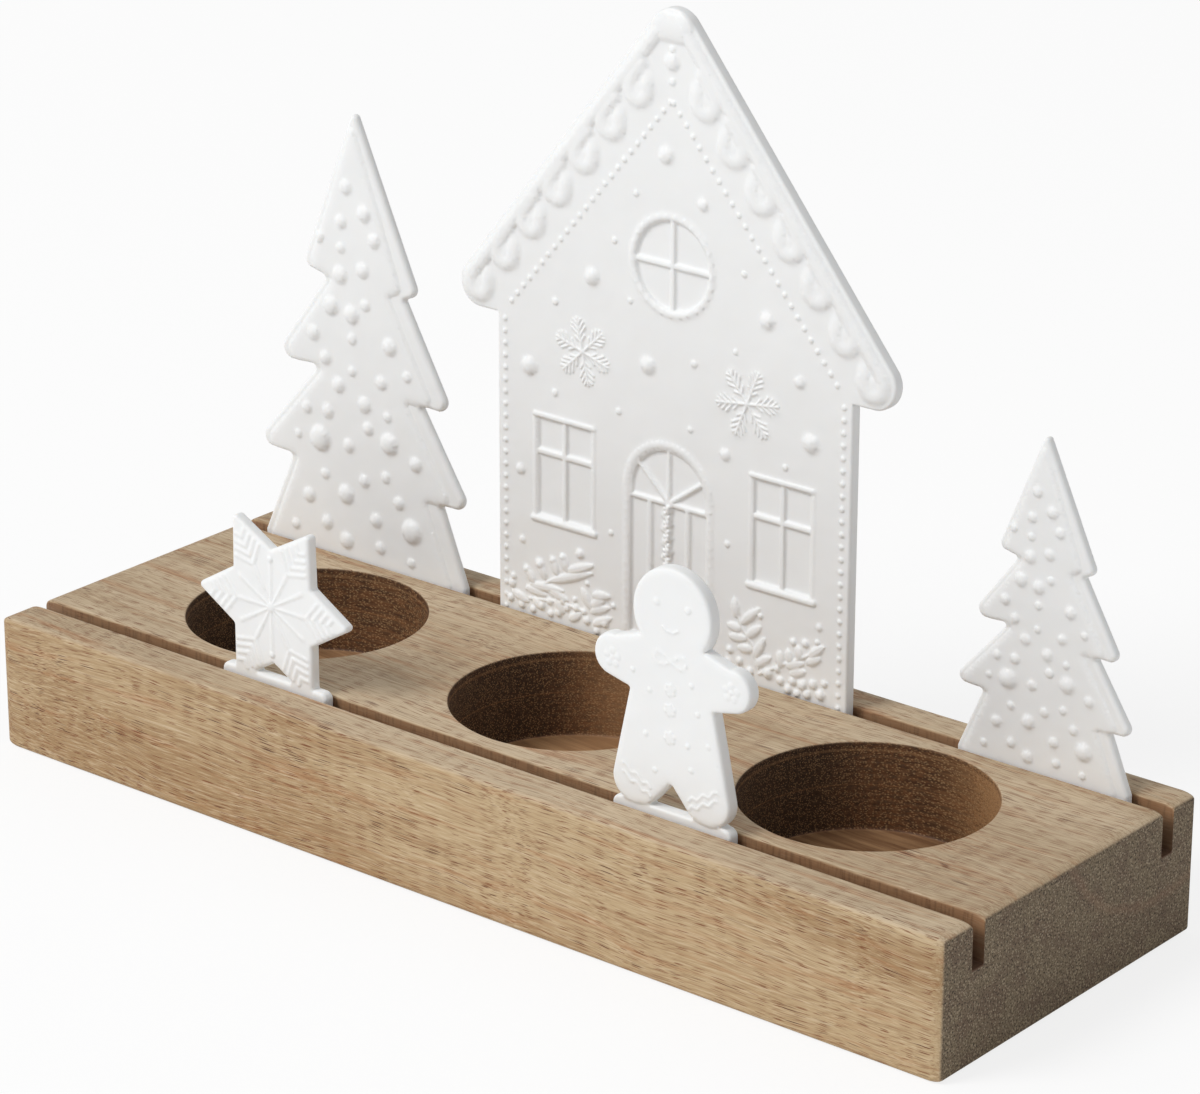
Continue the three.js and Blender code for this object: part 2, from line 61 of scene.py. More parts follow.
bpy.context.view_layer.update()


def add_object(name, data):
    """A new object in the scene."""
    made = bpy.data.objects.new(name, data)
    scene.collection.objects.link(made)
    return made


# %% [markdown]
# ## Camera
# A product picture like this is taken from a few metres away with a long lens, so that upright edges stay
# nearly parallel. The camera stands right of the middle and looks a little down on the block. Its turn is
# given as angles, and its axes are worked out from them.

# %% Camera
camera_place = Vector((0.67927, -0.81806, 0.49030))
camera_azimuth = math.radians(39.34)
camera_elevation = math.radians(21.22)
camera_roll = math.radians(0.12)
camera_lens = 139.24


def camera_turn(azimuth, elevation, roll):
    """The camera's right, up and backward axes as the columns of a matrix."""
    flat = math.cos(elevation)
    back = Vector((math.sin(azimuth) * flat, -math.cos(azimuth) * flat, math.sin(elevation)))
    right = Vector((0, 0, 1)).cross(back).normalized()
    up = back.cross(right)
    c, s = math.cos(roll), math.sin(roll)
    return Matrix((c * right + s * up, c * up - s * right, back)).transposed()


camera_data = bpy.data.cameras.new("camera")
camera_data.lens = camera_lens
camera_data.sensor_width = 36
camera_data.sensor_fit = "HORIZONTAL"
camera_data.clip_start = 0.01
camera = add_object("camera", camera_data)
camera.matrix_world = Matrix.Translation(camera_place) @ camera_turn(
    camera_azimuth, camera_elevation, camera_roll).to_4x4()
scene.camera = camera
print("camera at", [round(v, 3) for v in camera_place], "lens", camera_lens)


# %% [markdown]
# ## Shader sums
# A procedural finish is mostly sums on values: a mask times a strength, one minus a mask. `Wire` holds the
# output of a node and overloads Python's operators, so that such a sum reads as it would on paper and adds
# its Math nodes by itself. Colours and vectors go through nodes made by `Finish.node`, because a Math node
# would turn a colour grey.

# %% A wire and a finish
class Wire:
    """The output of a shader node, for use in sums. Each operator adds one Math node."""

    def __init__(self, finish, socket):
        self.finish = finish
        self.socket = socket

    def math(self, operation, *values):
        return self.finish.node("ShaderNodeMath", {"operation": operation}, dict(enumerate(values)))

    def __add__(self, other):
        return self.math("ADD", self, other)

    def __radd__(self, other):
        return self.math("ADD", other, self)

    def __sub__(self, other):
        return self.math("SUBTRACT", self, other)

    def __rsub__(self, other):
        return self.math("SUBTRACT", other, self)

    def __mul__(self, other):
        return self.math("MULTIPLY", self, other)

    def __rmul__(self, other):
        return self.math("MULTIPLY", other, self)

    def __abs__(self):
        return self.math("ABSOLUTE", self)


class Finish:
    """The nodes of a material or of the world, and the one way in which they are made."""

    def __init__(self, owner):
        self.owner = owner
        owner.use_nodes = True
        self.tree = owner.node_tree
        self.tree.nodes.clear()

    def node(self, kind, settings=None, sockets=None, out=0):
        """Adds a node: its settings first, then the values or links of its sockets."""
        node = self.tree.nodes.new(kind)
        for key, value in (settings or {}).items():
            setattr(node, key, value)
        for key, value in (sockets or {}).items():
            if isinstance(value, Wire):
                self.tree.links.new(value.socket, node.inputs[key])
            else:
                node.inputs[key].default_value = value
        return Wire(self, node.outputs[out]) if node.outputs else None

    def place(self, stretch=(1, 1, 1)):
        """The point on the piece in millimetres, squeezed or stretched along each axis."""
        metres = self.node("ShaderNodeTexCoord", out="Object")
        return self.vector("MULTIPLY", metres, tuple(s / MM for s in stretch))

    def vector(self, operation, *values):
        return self.node("ShaderNodeVectorMath", {"operation": operation}, dict(enumerate(values)))

    def length(self, parts):
        """The length of a vector given by some of its parts X, Y and Z."""
        return self.node("ShaderNodeVectorMath", {"operation": "LENGTH"}, {
            0: self.node("ShaderNodeCombineXYZ", {}, parts)}, out="Value")

    def axes(self, vector):
        """The x, y and z of a vector."""
        split = self.node("ShaderNodeSeparateXYZ", {}, {0: vector})
        return [Wire(self, socket) for socket in split.socket.node.outputs]

    def noise(self, place, scale, detail=2, roughness=0.5, out=0):
        return self.node("ShaderNodeTexNoise", {"noise_dimensions": "3D"}, {
            "Vector": place, "Scale": scale, "Detail": detail, "Roughness": roughness}, out)

    def smooth(self, value, low, high, to_low=0, to_high=1):
        """Runs from to_low to to_high while value runs from low to high, with soft ends."""
        return self.node("ShaderNodeMapRange", {"interpolation_type": "SMOOTHSTEP"}, {
            "Value": value, "From Min": low, "From Max": high, "To Min": to_low, "To Max": to_high})

    def mix(self, below, above, share):
        """Two colours mixed by share. The node's sockets 6 and 7 are its colours."""
        return self.node("ShaderNodeMix", {"data_type": "RGBA"}, {0: share, 6: below, 7: above}, out=2)

    def coats(self, colour, *layers):
        """A colour with others laid over it, each given as (red, green, blue) and its share."""
        for above, share in layers:
            colour = self.mix(colour, paint(*above), share)
        return colour

    def bump(self, height, distance, under=None):
        """A fine relief of the given height in metres, on top of another one."""
        sockets = {"Height": height, "Distance": distance, "Strength": 1}
        if under is not None:
            sockets["Normal"] = under
        return self.node("ShaderNodeBump", {}, sockets)

    def end(self, sockets):
        """The surface shader and the material's output."""
        surface = self.node("ShaderNodeBsdfPrincipled", {}, sockets)
        self.node("ShaderNodeOutputMaterial", {}, {"Surface": surface})
        return self.owner


def paint(red, green, blue):
    """A colour as a picture shows it, 0 to 255, turned into the linear light that shaders use."""
    def linear(value):
        share = value / 255
        return share / 12.92 if share <= 0.04045 else ((share + 0.055) / 1.055) ** 2.4
    return (linear(red), linear(green), linear(blue), 1)


# %% [markdown]
# ## Floor and light
# The studio is a wide white sweep: no corner and no horizon show. One large soft lamp stands high on the
# left in front, so faces that look right fall into shade. The world fills the rest evenly. Both are set so
# that a white sheet renders just under full white and no pale surface clips. The camera sees most of the
# floor as even light and the rest of it lit, so that the block's shadow stays.

# %% Floor, world and lamp
floor_size = 8
floor_white = 0.98
floor_glow = 0.8
world_fill = 0.48
lamp_place = Vector((-2.0, -3.4, 4.0))
lamp_aim = Vector((0, 0, 0.06))
lamp_size = 2.6
lamp_watts = 184
full_white = (1, 1, 1, 1)


def make_floor():
    mesh = bpy.data.meshes.new("floor")
    half = floor_size / 2
    corners = [(-half, -half, 0), (half, -half, 0), (half, half, 0), (-half, half, 0)]
    mesh.from_pydata(corners, [], [(0, 1, 2, 3)])
    floor = add_object("floor", mesh)
    finish = Finish(bpy.data.materials.new("floor_white"))
    shade = finish.node("ShaderNodeBsdfDiffuse", {}, {"Color": (floor_white, floor_white, floor_white, 1)})
    glow = finish.node("ShaderNodeEmission", {}, {"Color": full_white, "Strength": 1})
    seen = finish.node("ShaderNodeLightPath", out="Is Camera Ray")
    mixed = finish.node("ShaderNodeMixShader", {}, {0: seen * floor_glow, 1: shade, 2: glow})
    finish.node("ShaderNodeOutputMaterial", {}, {"Surface": mixed})
    mesh.materials.append(finish.owner)


def make_world():
    """White for the camera, and a softer white that lights the pieces."""
    scene.world = bpy.data.worlds.new("studio")
    f = Finish(scene.world)
    seen = f.node("ShaderNodeLightPath", out="Is Camera Ray")
    fill = f.node("ShaderNodeBackground", {}, {"Color": full_white, "Strength": world_fill})
    backdrop = f.node("ShaderNodeBackground", {}, {"Color": full_white, "Strength": 1})
    mixed = f.node("ShaderNodeMixShader", {}, {0: seen, 1: fill, 2: backdrop})
    f.node("ShaderNodeOutputWorld", {}, {"Surface": mixed})


def make_lamp():
    data = bpy.data.lights.new("key", "AREA")
    data.shape = "DISK"
    data.size = lamp_size
    data.energy = lamp_watts
    lamp = add_object("key", data)
    lamp.location = lamp_place
    lamp.rotation_euler = (lamp_aim - lamp_place).to_track_quat("-Z", "Y").to_euler()


make_floor()
make_world()
make_lamp()
print("studio lit")


# %% [markdown]
# ## The block
# The real block is planed, its long edges rounded over, and two grooves are sawn along it. A drill with a
# flat bottom cuts the pockets. The mesh follows that: one cross-section, grooves and all, is swept along
# the block and draws in a little at both ends, where the wood was sanded. The strip between the grooves is
# left open in the sweep and filled by a sheet with three round holes, from which the pockets are turned.

# %% Sizes of the block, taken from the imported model
block_high = Vector(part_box("wood_block")[1]) / MM
block_top = block_high.z
half_length = block_high.x
half_depth = block_high.y
openings = {o["name"]: [Vector(v) / MM for v in o["box_m"]] for o in frame["record"]["physics"]["openings"]}
mounts = {m["name"]: Vector(m["pos_m"]) / MM for m in frame["record"]["mounts"]}
groove_middles = [sum(openings[n][i].y for i in (0, 1)) / 2
                  for n in ("front_groove_left", "back_groove_left_end")]
pocket_places = [mounts[f"pocket_floor_{n}"] for n in ("left", "middle", "right")]
groove_width = 4.6
groove_floor = 24.5
pocket_radius = 31.6
print("block top", round(block_top, 2), "grooves at y", groove_middles, "pockets", pocket_places)


# %% The cross-section and its sweep
long_edge = 1.6
groove_edge = 0.8
groove_corner = 0.6
end_ease_length = 4
end_ease_drop = 1.2


def quarter(centre, radius, start, steps=4):
    """Points on a quarter turn anticlockwise from the angle start, in degrees."""
    turns = [math.radians(start + 90 * i / steps) for i in range(steps + 1)]
    return [(centre[0] + radius * math.cos(t), centre[1] + radius * math.sin(t), t) for t in turns]


def block_section():
    """Points (y, z, inward y, inward z) of the cross-section, anticlockwise. Inward says how a point moves
    where the block draws in at its ends."""
    points = []
    for (side_y, side_z), start in (((-1, -1), 180), ((1, -1), 270), ((1, 1), 0), ((-1, 1), 90)):
        middle = (side_y * (half_depth - long_edge), long_edge if side_z < 0 else block_top - long_edge)
        points += [(y, z, -math.cos(t), -math.sin(t)) for y, z, t in quarter(middle, long_edge, start)]
        if (side_y, side_z) == (1, 1):
            for groove in reversed(groove_middles):
                points += groove_section(groove)
    return points


def groove_section(middle):
    """One groove of the cross-section, from its back edge over its floor to its front edge."""
    half = groove_width / 2

    def bend(y, z, radius, start, inward):
        return [(y, z, 0, inward) for y, z, _ in quarter((y, z), radius, start)]

    edge_z, corner_z = block_top - groove_edge, groove_floor + groove_corner
    back_edge = bend(middle + half + groove_edge, edge_z, groove_edge, 90, -1)
    front_edge = bend(middle - half - groove_edge, edge_z, groove_edge, 0, -1)
    back_corner = bend(middle + half - groove_corner, corner_z, groove_corner, 270, 0)
    front_corner = bend(middle - half + groove_corner, corner_z, groove_corner, 180, 0)
    return back_edge + back_corner[::-1] + front_corner[::-1] + front_edge


def sweep_stations(step=10):
    """Pairs (x, inset) along the block, from the left end to the right end."""
    steps = 6
    ease = []
    for i in range(steps + 1):
        turn = i / steps * math.pi / 2
        x = half_length - end_ease_length * (1 - math.cos(turn))
        ease.append((x, end_ease_drop * (1 - math.sin(turn))))
    straight = half_length - end_ease_length
    count = round(2 * straight / step)
    middle = [(-straight + 2 * straight * i / count, 0) for i in range(1, count)]
    return [(-x, inset) for x, inset in ease] + middle + ease[::-1]


def join_points(loops, free=()):
    """Delaunay triangles over closed loops and free points. Returns the points, the triangles and where the
    points of each loop are."""
    points = np.vstack([*loops, free]) if len(free) else np.vstack(loops)
    edges, first = [], 0
    for loop in loops:
        ring = list(range(first, first + len(loop)))
        edges += list(zip(ring, ring[1:] + ring[:1]))
        first += len(loop)
    found, _, faces, origin, _, _ = delaunay_2d_cdt([Vector(p) for p in points], edges, [], 1, 1e-7)
    place = np.empty(len(points), int)
    for i, old in enumerate(origin):
        place[old] = i
    splits = np.cumsum([len(loop) for loop in loops])
    return np.array([v[:] for v in found]), np.array(faces), np.split(place[:splits[-1]], splits[:-1])


print("cross-section:", len(block_section()), "points, swept through", len(sweep_stations()), "places")


# %% The pockets
rim_ease = 0.5
floor_corner = 0.9
pocket_sides = 192
turning_pitch = 1.7
turning_depth = 0.025


def pocket_profile(floor):
    """Pairs (radius, height) from the rim down the wall and over the floor to the centre."""
    rim = [(r, z) for r, z, _ in quarter((pocket_radius + rim_ease, block_top - rim_ease), rim_ease, 90)]
    low, high = floor + floor_corner, block_top - rim_ease
    rows = 40
    wall = []
    for i in range(1, rows):
        z = high + (low - high) * i / rows
        wall.append((pocket_radius + turning_depth * math.sin(2 * math.pi * z / turning_pitch), z))
    corner = [(pocket_radius - floor_corner * (1 - math.cos(t)), low - floor_corner * math.sin(t))
              for t in (math.pi / 2 * i / 4 for i in range(5))]
    inner = pocket_radius - floor_corner
    rings = 24
    ground = []
    for i in range(1, rings):
        r = inner * (1 - i / rings)
        ground.append((r, floor + turning_depth * math.sin(2 * math.pi * r / turning_pitch)))
    return rim + wall + corner + ground


def add_pocket(verts, faces, place):
    """Turns one pocket and returns the indices of its rim."""
    turns = [2 * math.pi * i / pocket_sides for i in range(pocket_sides)]
    first = len(verts)
    profile = pocket_profile(place.z)
    for r, z in profile:
        verts += [(place.x + r * math.cos(t), place.y + r * math.sin(t), z) for t in turns]
    for row in range(len(profile) - 1):
        a, b = first + row * pocket_sides, first + (row + 1) * pocket_sides
        for i in range(pocket_sides):
            j = (i + 1) % pocket_sides
            faces.append((a + i, a + j, b + j, b + i))
    last = first + (len(profile) - 1) * pocket_sides
    verts.append((place.x, place.y, place.z))
    faces += [(last + i, last + (i + 1) % pocket_sides, len(verts) - 1) for i in range(pocket_sides)]
    return list(range(first, first + pocket_sides))


print("pocket profile:", len(pocket_profile(pocket_places[0].z)), "rings")


# %% The block's mesh
def new_object(name, verts, faces, finish, body, node):
    """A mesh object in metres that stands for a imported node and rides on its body."""
    mesh = bpy.data.meshes.new(name)
    mesh.from_pydata([(x * MM, y * MM, z * MM) for x, y, z in verts], [], faces)
    mesh.validate()
    mesh.shade_smooth()
    mesh.materials.append(finish)
    piece = add_object(name, mesh)
    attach(piece, body)
    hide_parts(node)
    return piece


def close_gap(verts, faces, rings, axis, forward):
    """Fills between rings of points in one plane. Axis is the one that the plane is square to, and forward
    says whether the faces look along it."""
    kept_axes = [a for a in range(3) if a != axis]
    flat = [np.array([[verts[i][a] for a in kept_axes] for i in ring]) for ring in rings]
    points, triangles, places = join_points(flat)
    back = {int(p): i for ring, place in zip(rings, places) for i, p in zip(ring, place)}
    holes = [loop.mean(0) for loop in flat[1:]]
    for triangle in triangles:
        centre = points[triangle].mean(0)
        if all(np.linalg.norm(centre - hole) > pocket_radius + rim_ease - 0.05 for hole in holes):
            face = tuple(back[int(i)] for i in triangle)
            faces.append(face if forward else face[::-1])


def make_block(finish):
    section = block_section()
    stations = sweep_stations()
    count = len(section)
    verts, faces = [], []
    for x, inset in stations:
        verts += [(x, y + inset * in_y, z + inset * in_z) for y, z, in_y, in_z in section]
    back, front = groove_middles[1] - groove_width / 2, groove_middles[0] + groove_width / 2
    web = next(i for i in range(count) if section[i][1] == section[(i + 1) % count][1] == block_top
               and section[i][0] < back and section[(i + 1) % count][0] > front)
    flat = [k for k, (_, inset) in enumerate(stations) if inset < 1e-9]
    for k in range(len(stations) - 1):
        for i in range(count):
            j = (i + 1) % count
            if i == web and k in flat and k + 1 in flat:
                continue
            faces.append((k * count + i, (k + 1) * count + i, (k + 1) * count + j, k * count + j))
    for k, forward in ((0, False), (len(stations) - 1, True)):
        ring = list(range(k * count, (k + 1) * count))
        close_gap(verts, faces, [ring], 0, forward)
    edge = [k * count + web + 1 for k in flat] + [k * count + web for k in reversed(flat)]
    rims = [add_pocket(verts, faces, place) for place in pocket_places]
    close_gap(verts, faces, [edge, *rims], 2, True)
    block = new_object("wooden_block", verts, faces, finish, "block", "wood_block")
    block.data.set_sharp_from_angle(angle=math.radians(50))
    even = block.modifiers.new("even_shading", "WEIGHTED_NORMAL")
    even.keep_sharp = True
    even.weight = 90
    print("block:", len(verts), "points", len(faces), "faces")


# %% [markdown]
# ## Wood finish
# Wood isn't a picture on a surface but a solid with a grain, so the finish is worked out from the place in
# the block. Growth rings are shells round an axis that runs above the block's back edge. Pores are long thin
# cells along the same direction, and show as dashes on the top and sides and as dots on the end grain. Sawn
# end grain drinks more oil and turns darker. The drilled walls of the pockets are dark partly from the same
# oil and partly from painted shade. Their floors, and the walls that face the lamp, get painted light.
# The groove walls get painted shade that deepens with depth.

# %% Wood finish
pith_y = 37
pith_z = 59
ring_radius = 45
pocket_free_end = 26
pocket_pitch = pocket_places[2].x - pocket_places[1].x


def cut_masks(f, x, y, z):
    """Where the surface belongs to a pocket or to a groove."""
    nearest = x.math("WRAP", x, pocket_pitch / 2, -pocket_pitch / 2)
    out = f.length({"X": nearest, "Y": y - pocket_places[1].y})
    inner = half_length - pocket_free_end
    inward = 1 - f.smooth(abs(x), inner - 0.5, inner)
    pocket = (1 - f.smooth(out, pocket_radius - 0.05, pocket_radius + 0.3)) * f.smooth(z, 10, 12) * inward
    grooves = [1 - f.smooth(abs(y - middle), groove_width / 2 - 0.05, groove_width / 2 + 0.2)
               for middle in groove_middles]
    below_top = 1 - f.smooth(z, block_top - 0.5, block_top - 0.1)
    return pocket, (grooves[0] + grooves[1]) * below_top * f.smooth(z, groove_floor - 0.5, groove_floor - 0.2)


def long_cells(f, place, reach, share, crowd):
    """Long thin pores: 0 outside, and inside each pore its own strength. Share is how many of the cells hold
    a pore, and crowd, from -0.5 to 0.5, makes some stretches full and others bare."""
    far = f.node("ShaderNodeTexVoronoi", {"feature": "F1"}, {"Vector": place, "Scale": 1}, out="Distance")
    luck = f.axes(Wire(f, far.socket.node.outputs["Color"]))[0]
    return f.smooth(far, reach, reach * 0.55) * f.smooth(luck + crowd, 1 - share, 1.25 - share)


def wood_finish():
    f = Finish(bpy.data.materials.new("oiled_wood"))
    x, y, z = f.axes(f.place())
    normal = f.axes(f.node("ShaderNodeTexCoord", out="Normal"))
    facing = [abs(n) for n in normal]
    end_grain = f.smooth(facing[0], 0.5, 0.95)
    pocket, groove = cut_masks(f, x, y, z)

    # The grain wavers, so every pattern that follows it is worked out in bent space
    waver = f.vector("SUBTRACT", f.noise(f.place((0.012, 0.02, 0.02)), 1, 2, out="Color"), (0.5, 0.5, 0.5))
    bent = f.vector("ADD", f.place(), f.vector("MULTIPLY", waver, (0, 9, 9)))

    def grain(length, width, detail=2, roughness=0.5):
        """Noise in strips of the given length and width in millimetres."""
        strip = f.vector("MULTIPLY", bent, (1 / length, 1 / width, 1 / width))
        return f.noise(strip, 1, detail, roughness)

    # Growth: broad tones, warm streaks, long dark lines and single fibres
    tones = grain(140, 22)
    streaks = grain(70, 3.2, 4, 0.6)
    lines = grain(38, 0.9, 3, 0.65)
    fibres = grain(9, 0.3, 2, 0.65)
    pale = f.mix(paint(178, 156, 126), paint(197, 177, 148), f.smooth(tones, 0.38, 0.62))
    gold = f.mix(paint(166, 136, 98), paint(188, 163, 126), f.smooth(tones, 0.38, 0.62))
    side = f.mix(pale, gold, f.smooth(facing[1], 0.5, 0.95))
    grown = f.coats(
        side,
        ((164, 110, 68), f.smooth(streaks, 0.5, 0.72, 0, 0.6)),
        ((138, 92, 58), f.smooth(lines, 0.53, 0.72, 0, 0.45)),
        ((214, 195, 166), f.smooth(lines, 0.46, 0.3, 0, 0.4)),
        ((130, 94, 62), f.smooth(fibres, 0.5, 0.68, 0, 0.5)),
        ((214, 194, 162), f.smooth(fibres, 0.48, 0.32, 0, 0.45)))

    # Pores: dashes along the grain
    crowd = grain(60, 8, 3, 0.6) - 0.5
    fine = long_cells(f, f.vector("MULTIPLY", bent, (0.17, 4.4, 4.4)), 0.46, 0.44, crowd * 0.8)
    deep = long_cells(f, f.vector("MULTIPLY", bent, (0.11, 3.4, 3.4)), 0.42, 0.18, crowd * 1.2)
    pored = f.coats(grown, ((122, 70, 36), fine * 0.95), ((84, 42, 20), deep))

    # End grain drinks more oil and turns darker; the cuts below are darker partly from oil and partly from
    # painted shade
    patches = f.noise(f.place((0.1, 0.11, 0.11)), 1, 3, 0.6)
    speckle = f.noise(f.place((0.6, 1.75, 1.75)), 1, 2, 0.75)
    vessels = long_cells(f, f.place((0.5, 1.5, 1.5)), 0.46, 0.9, 0)
    grey = f.mix(paint(129, 113, 90), paint(118, 99, 80), f.smooth(patches, 0.4, 0.64))
    from_pith = f.length({"Y": y - pith_y, "Z": z - pith_z})
    ring = f.smooth(abs(from_pith - ring_radius + (patches - 0.5) * 6), 2.2, 0, 0, 0.2)
    end = f.coats(
        grey,
        ((58, 48, 38), f.smooth(speckle, 0.47, 0.62, 0, 0.95)),
        ((180, 164, 138), vessels * 0.6),
        ((156, 120, 96), ring))
    outside = f.mix(pored, end, end_grain)

    # Drilled walls are dark, partly from oil in the cut grain and partly from painted shade, with dense pale
    # flecks and marks of the drill. Painted light makes them warmer and paler where they face left, towards
    # the lamp, most of all in the right-hand pockets
    oiled_and_shaded_wall = f.mix(paint(72, 46, 28), paint(112, 74, 45), f.smooth(lines, 0.38, 0.62))
    # Painted light: walls that face left, towards the lamp, turn lighter and warmer
    lamp_lit_wall = f.smooth(normal[0], 0.2, -0.75, 0, 0.85) * f.smooth(x, -70, 40)
    flecks = long_cells(f, f.place((1.1, 2.4, 2.4)), 0.48, 0.95, 0)
    sunk = block_top - z
    rings = f.smooth(abs(sunk - 2.2), 0.6, 0.1) + f.smooth(abs(sunk - 11.5), 0.35, 0.05)
    torn = f.smooth(abs(sunk - 0.7), 0.8, 0.2) * f.smooth(speckle, 0.42, 0.58)
    wall = f.coats(
        oiled_and_shaded_wall,
        ((44, 33, 24), end_grain * 0.9),
        ((188, 142, 96), lamp_lit_wall),
        ((84, 50, 28), f.smooth(fibres, 0.5, 0.62, 0, 0.6)),
        ((206, 168, 122), flecks * 0.42),
        ((180, 136, 92), rings * 0.22),
        ((66, 42, 27), torn * 0.7))

    # The floors run along the grain and show its lines. Their paleness is painted light, as if lit from
    # above, and the middle pocket is paler still with painted light thrown back from the house
    ground = f.mix(paint(132, 96, 65), paint(170, 132, 95), f.smooth(streaks, 0.4, 0.62))
    lit_lined_floor = f.coats(ground, ((92, 62, 42), f.smooth(lines, 0.53, 0.72, 0, 0.45)))
    drilled = f.mix(wall, lit_lined_floor, f.smooth(facing[2], 0.6, 0.9))
    # Painted reflection: the middle pocket is paler, as if light were thrown back on it by the house
    painted_bounce_light = f.smooth(abs(x), 50, 30, 0, 0.34) * f.smooth(normal[0], 0.8, 0.3)
    bored = f.coats(drilled, ((190, 148, 106), painted_bounce_light))

    # Groove walls are darker with depth: painted shade in the narrow saw cut, over the saw's own hatch marks
    groove_wall_painted_shade = f.mix(paint(88, 60, 42), paint(154, 114, 82), f.smooth(sunk, 6, 0.8))
    hatch = f.smooth(f.noise(f.place((1.3, 1.3, 0.2)), 1, 2), 0.46, 0.68, 0, 0.4)
    cut = f.mix(f.mix(outside, bored, pocket), f.coats(groove_wall_painted_shade, ((74, 50, 35), hatch)), groove * 0.92)

    marks = f.noise(f.node("ShaderNodeCombineXYZ", {}, {"Z": z * 1.7}), 1, 1) * pocket
    rough = 0.52 + 0.14 * streaks + 0.14 * end_grain
    height = fibres * 0.5 - fine * 0.5 - deep * 1.3 + marks * 1.5
    return f.end({
        "Base Color": cut, "Roughness": rough, "Normal": f.bump(height, 0.04 * MM),
        "Specular IOR Level": 0.35})


make_block(wood_finish())


# %% [markdown]
# ## Porcelain finish
# The figures are cast from liquid clay in plaster moulds and fired without glaze. Such bisque is a plain
# white with a dry sheen. Light goes a little way into it, so its edges look soft. The finish only
# needs faint clouds in the white, a fine tooth in the surface and a broad unevenness from the mould.

# %% Porcelain finish
def porcelain_finish():
    f = Finish(bpy.data.materials.new("bisque_porcelain"))
    clouds = f.noise(f.place(), 0.05, 3)
    tooth = f.noise(f.place(), 3.5, 2)
    swell = f.noise(f.place(), 0.09, 2)
    tint = f.mix(paint(236, 237, 237), paint(241, 242, 242), clouds)
    fine = f.bump(tooth, 0.01 * MM, f.bump(swell, 0.4 * MM))
    return f.end({
        "Base Color": tint, "Roughness": 0.42 + clouds * 0.16, "Normal": fine,
        "Subsurface Weight": 0.25, "Subsurface Radius": (1, 0.9, 0.8), "Subsurface Scale": 1.2 * MM})


porcelain = porcelain_finish()
print("finish", porcelain.name)


# %% [markdown]
# ## How a cast plate is made
# A plate is an outline with a thickness and a relief on its front. The relief is a height for each point of
# the face: areas lie flat at their own level with a soft edge, and everything piped or scratched is a chain
# of discs along a path. `Plate` collects these forms. It then sets mesh points along the outline and along
# the contours of each form, fills the rest with an even grid, joins all by Delaunay's rule, and gives each
# point its height. A last smoothing softens the creases, as the mould does.

# %% Outlines and paths
def arc(centre, radius, start, end, step=0.4):
    """Points on an arc between two angles in radians."""
    count = max(2, math.ceil(abs(end - start) * radius / step))
    turns = np.linspace(start, end, count + 1)
    return np.column_stack([centre[0] + radius * np.cos(turns), centre[1] + radius * np.sin(turns)])


def evenly(points, step, closed=False):
    """A line through points, cut into equal steps that keep every given point."""
    points = np.asarray(points, float)
    ends = np.roll(points, -1, axis=0) if closed else points[1:]
    parts = []
    for a, b in zip(points, ends):
        count = max(1, math.ceil(np.linalg.norm(b - a) / step))
        parts.append(a + (b - a) * (np.arange(count) / count)[:, None])
    if not closed:
        parts.append(points[-1:])
    return np.vstack(parts)


def rounded(corners, step=0.4):
    """A closed outline from corners (x, y, radius), each radius a true arc."""
    points = []
    count = len(corners)
    for i, (x, y, radius) in enumerate(corners):
        here = np.array([x, y], float)
        back = np.array(corners[i - 1][:2], float) - here
        ahead = np.array(corners[(i + 1) % count][:2], float) - here
        room = min(np.linalg.norm(back), np.linalg.norm(ahead)) / 2.2
        back /= np.linalg.norm(back)
        ahead /= np.linalg.norm(ahead)
        half = math.acos(max(-1, min(1, back @ ahead))) / 2
        size = min(radius, room * math.tan(half))
        if size < 0.02:
            points.append(here[None])
            continue
        middle = back + ahead
        centre = here + middle / np.linalg.norm(middle) * size / math.sin(half)
        first = here + back * size / math.tan(half) - centre
        start = math.atan2(first[1], first[0])
        turn = math.pi - 2 * half
        left = back[0] * ahead[1] - back[1] * ahead[0] < 0
        points.append(arc(centre, size, start, start + (turn if left else -turn), step))
    return evenly(np.vstack(points), step, closed=True)


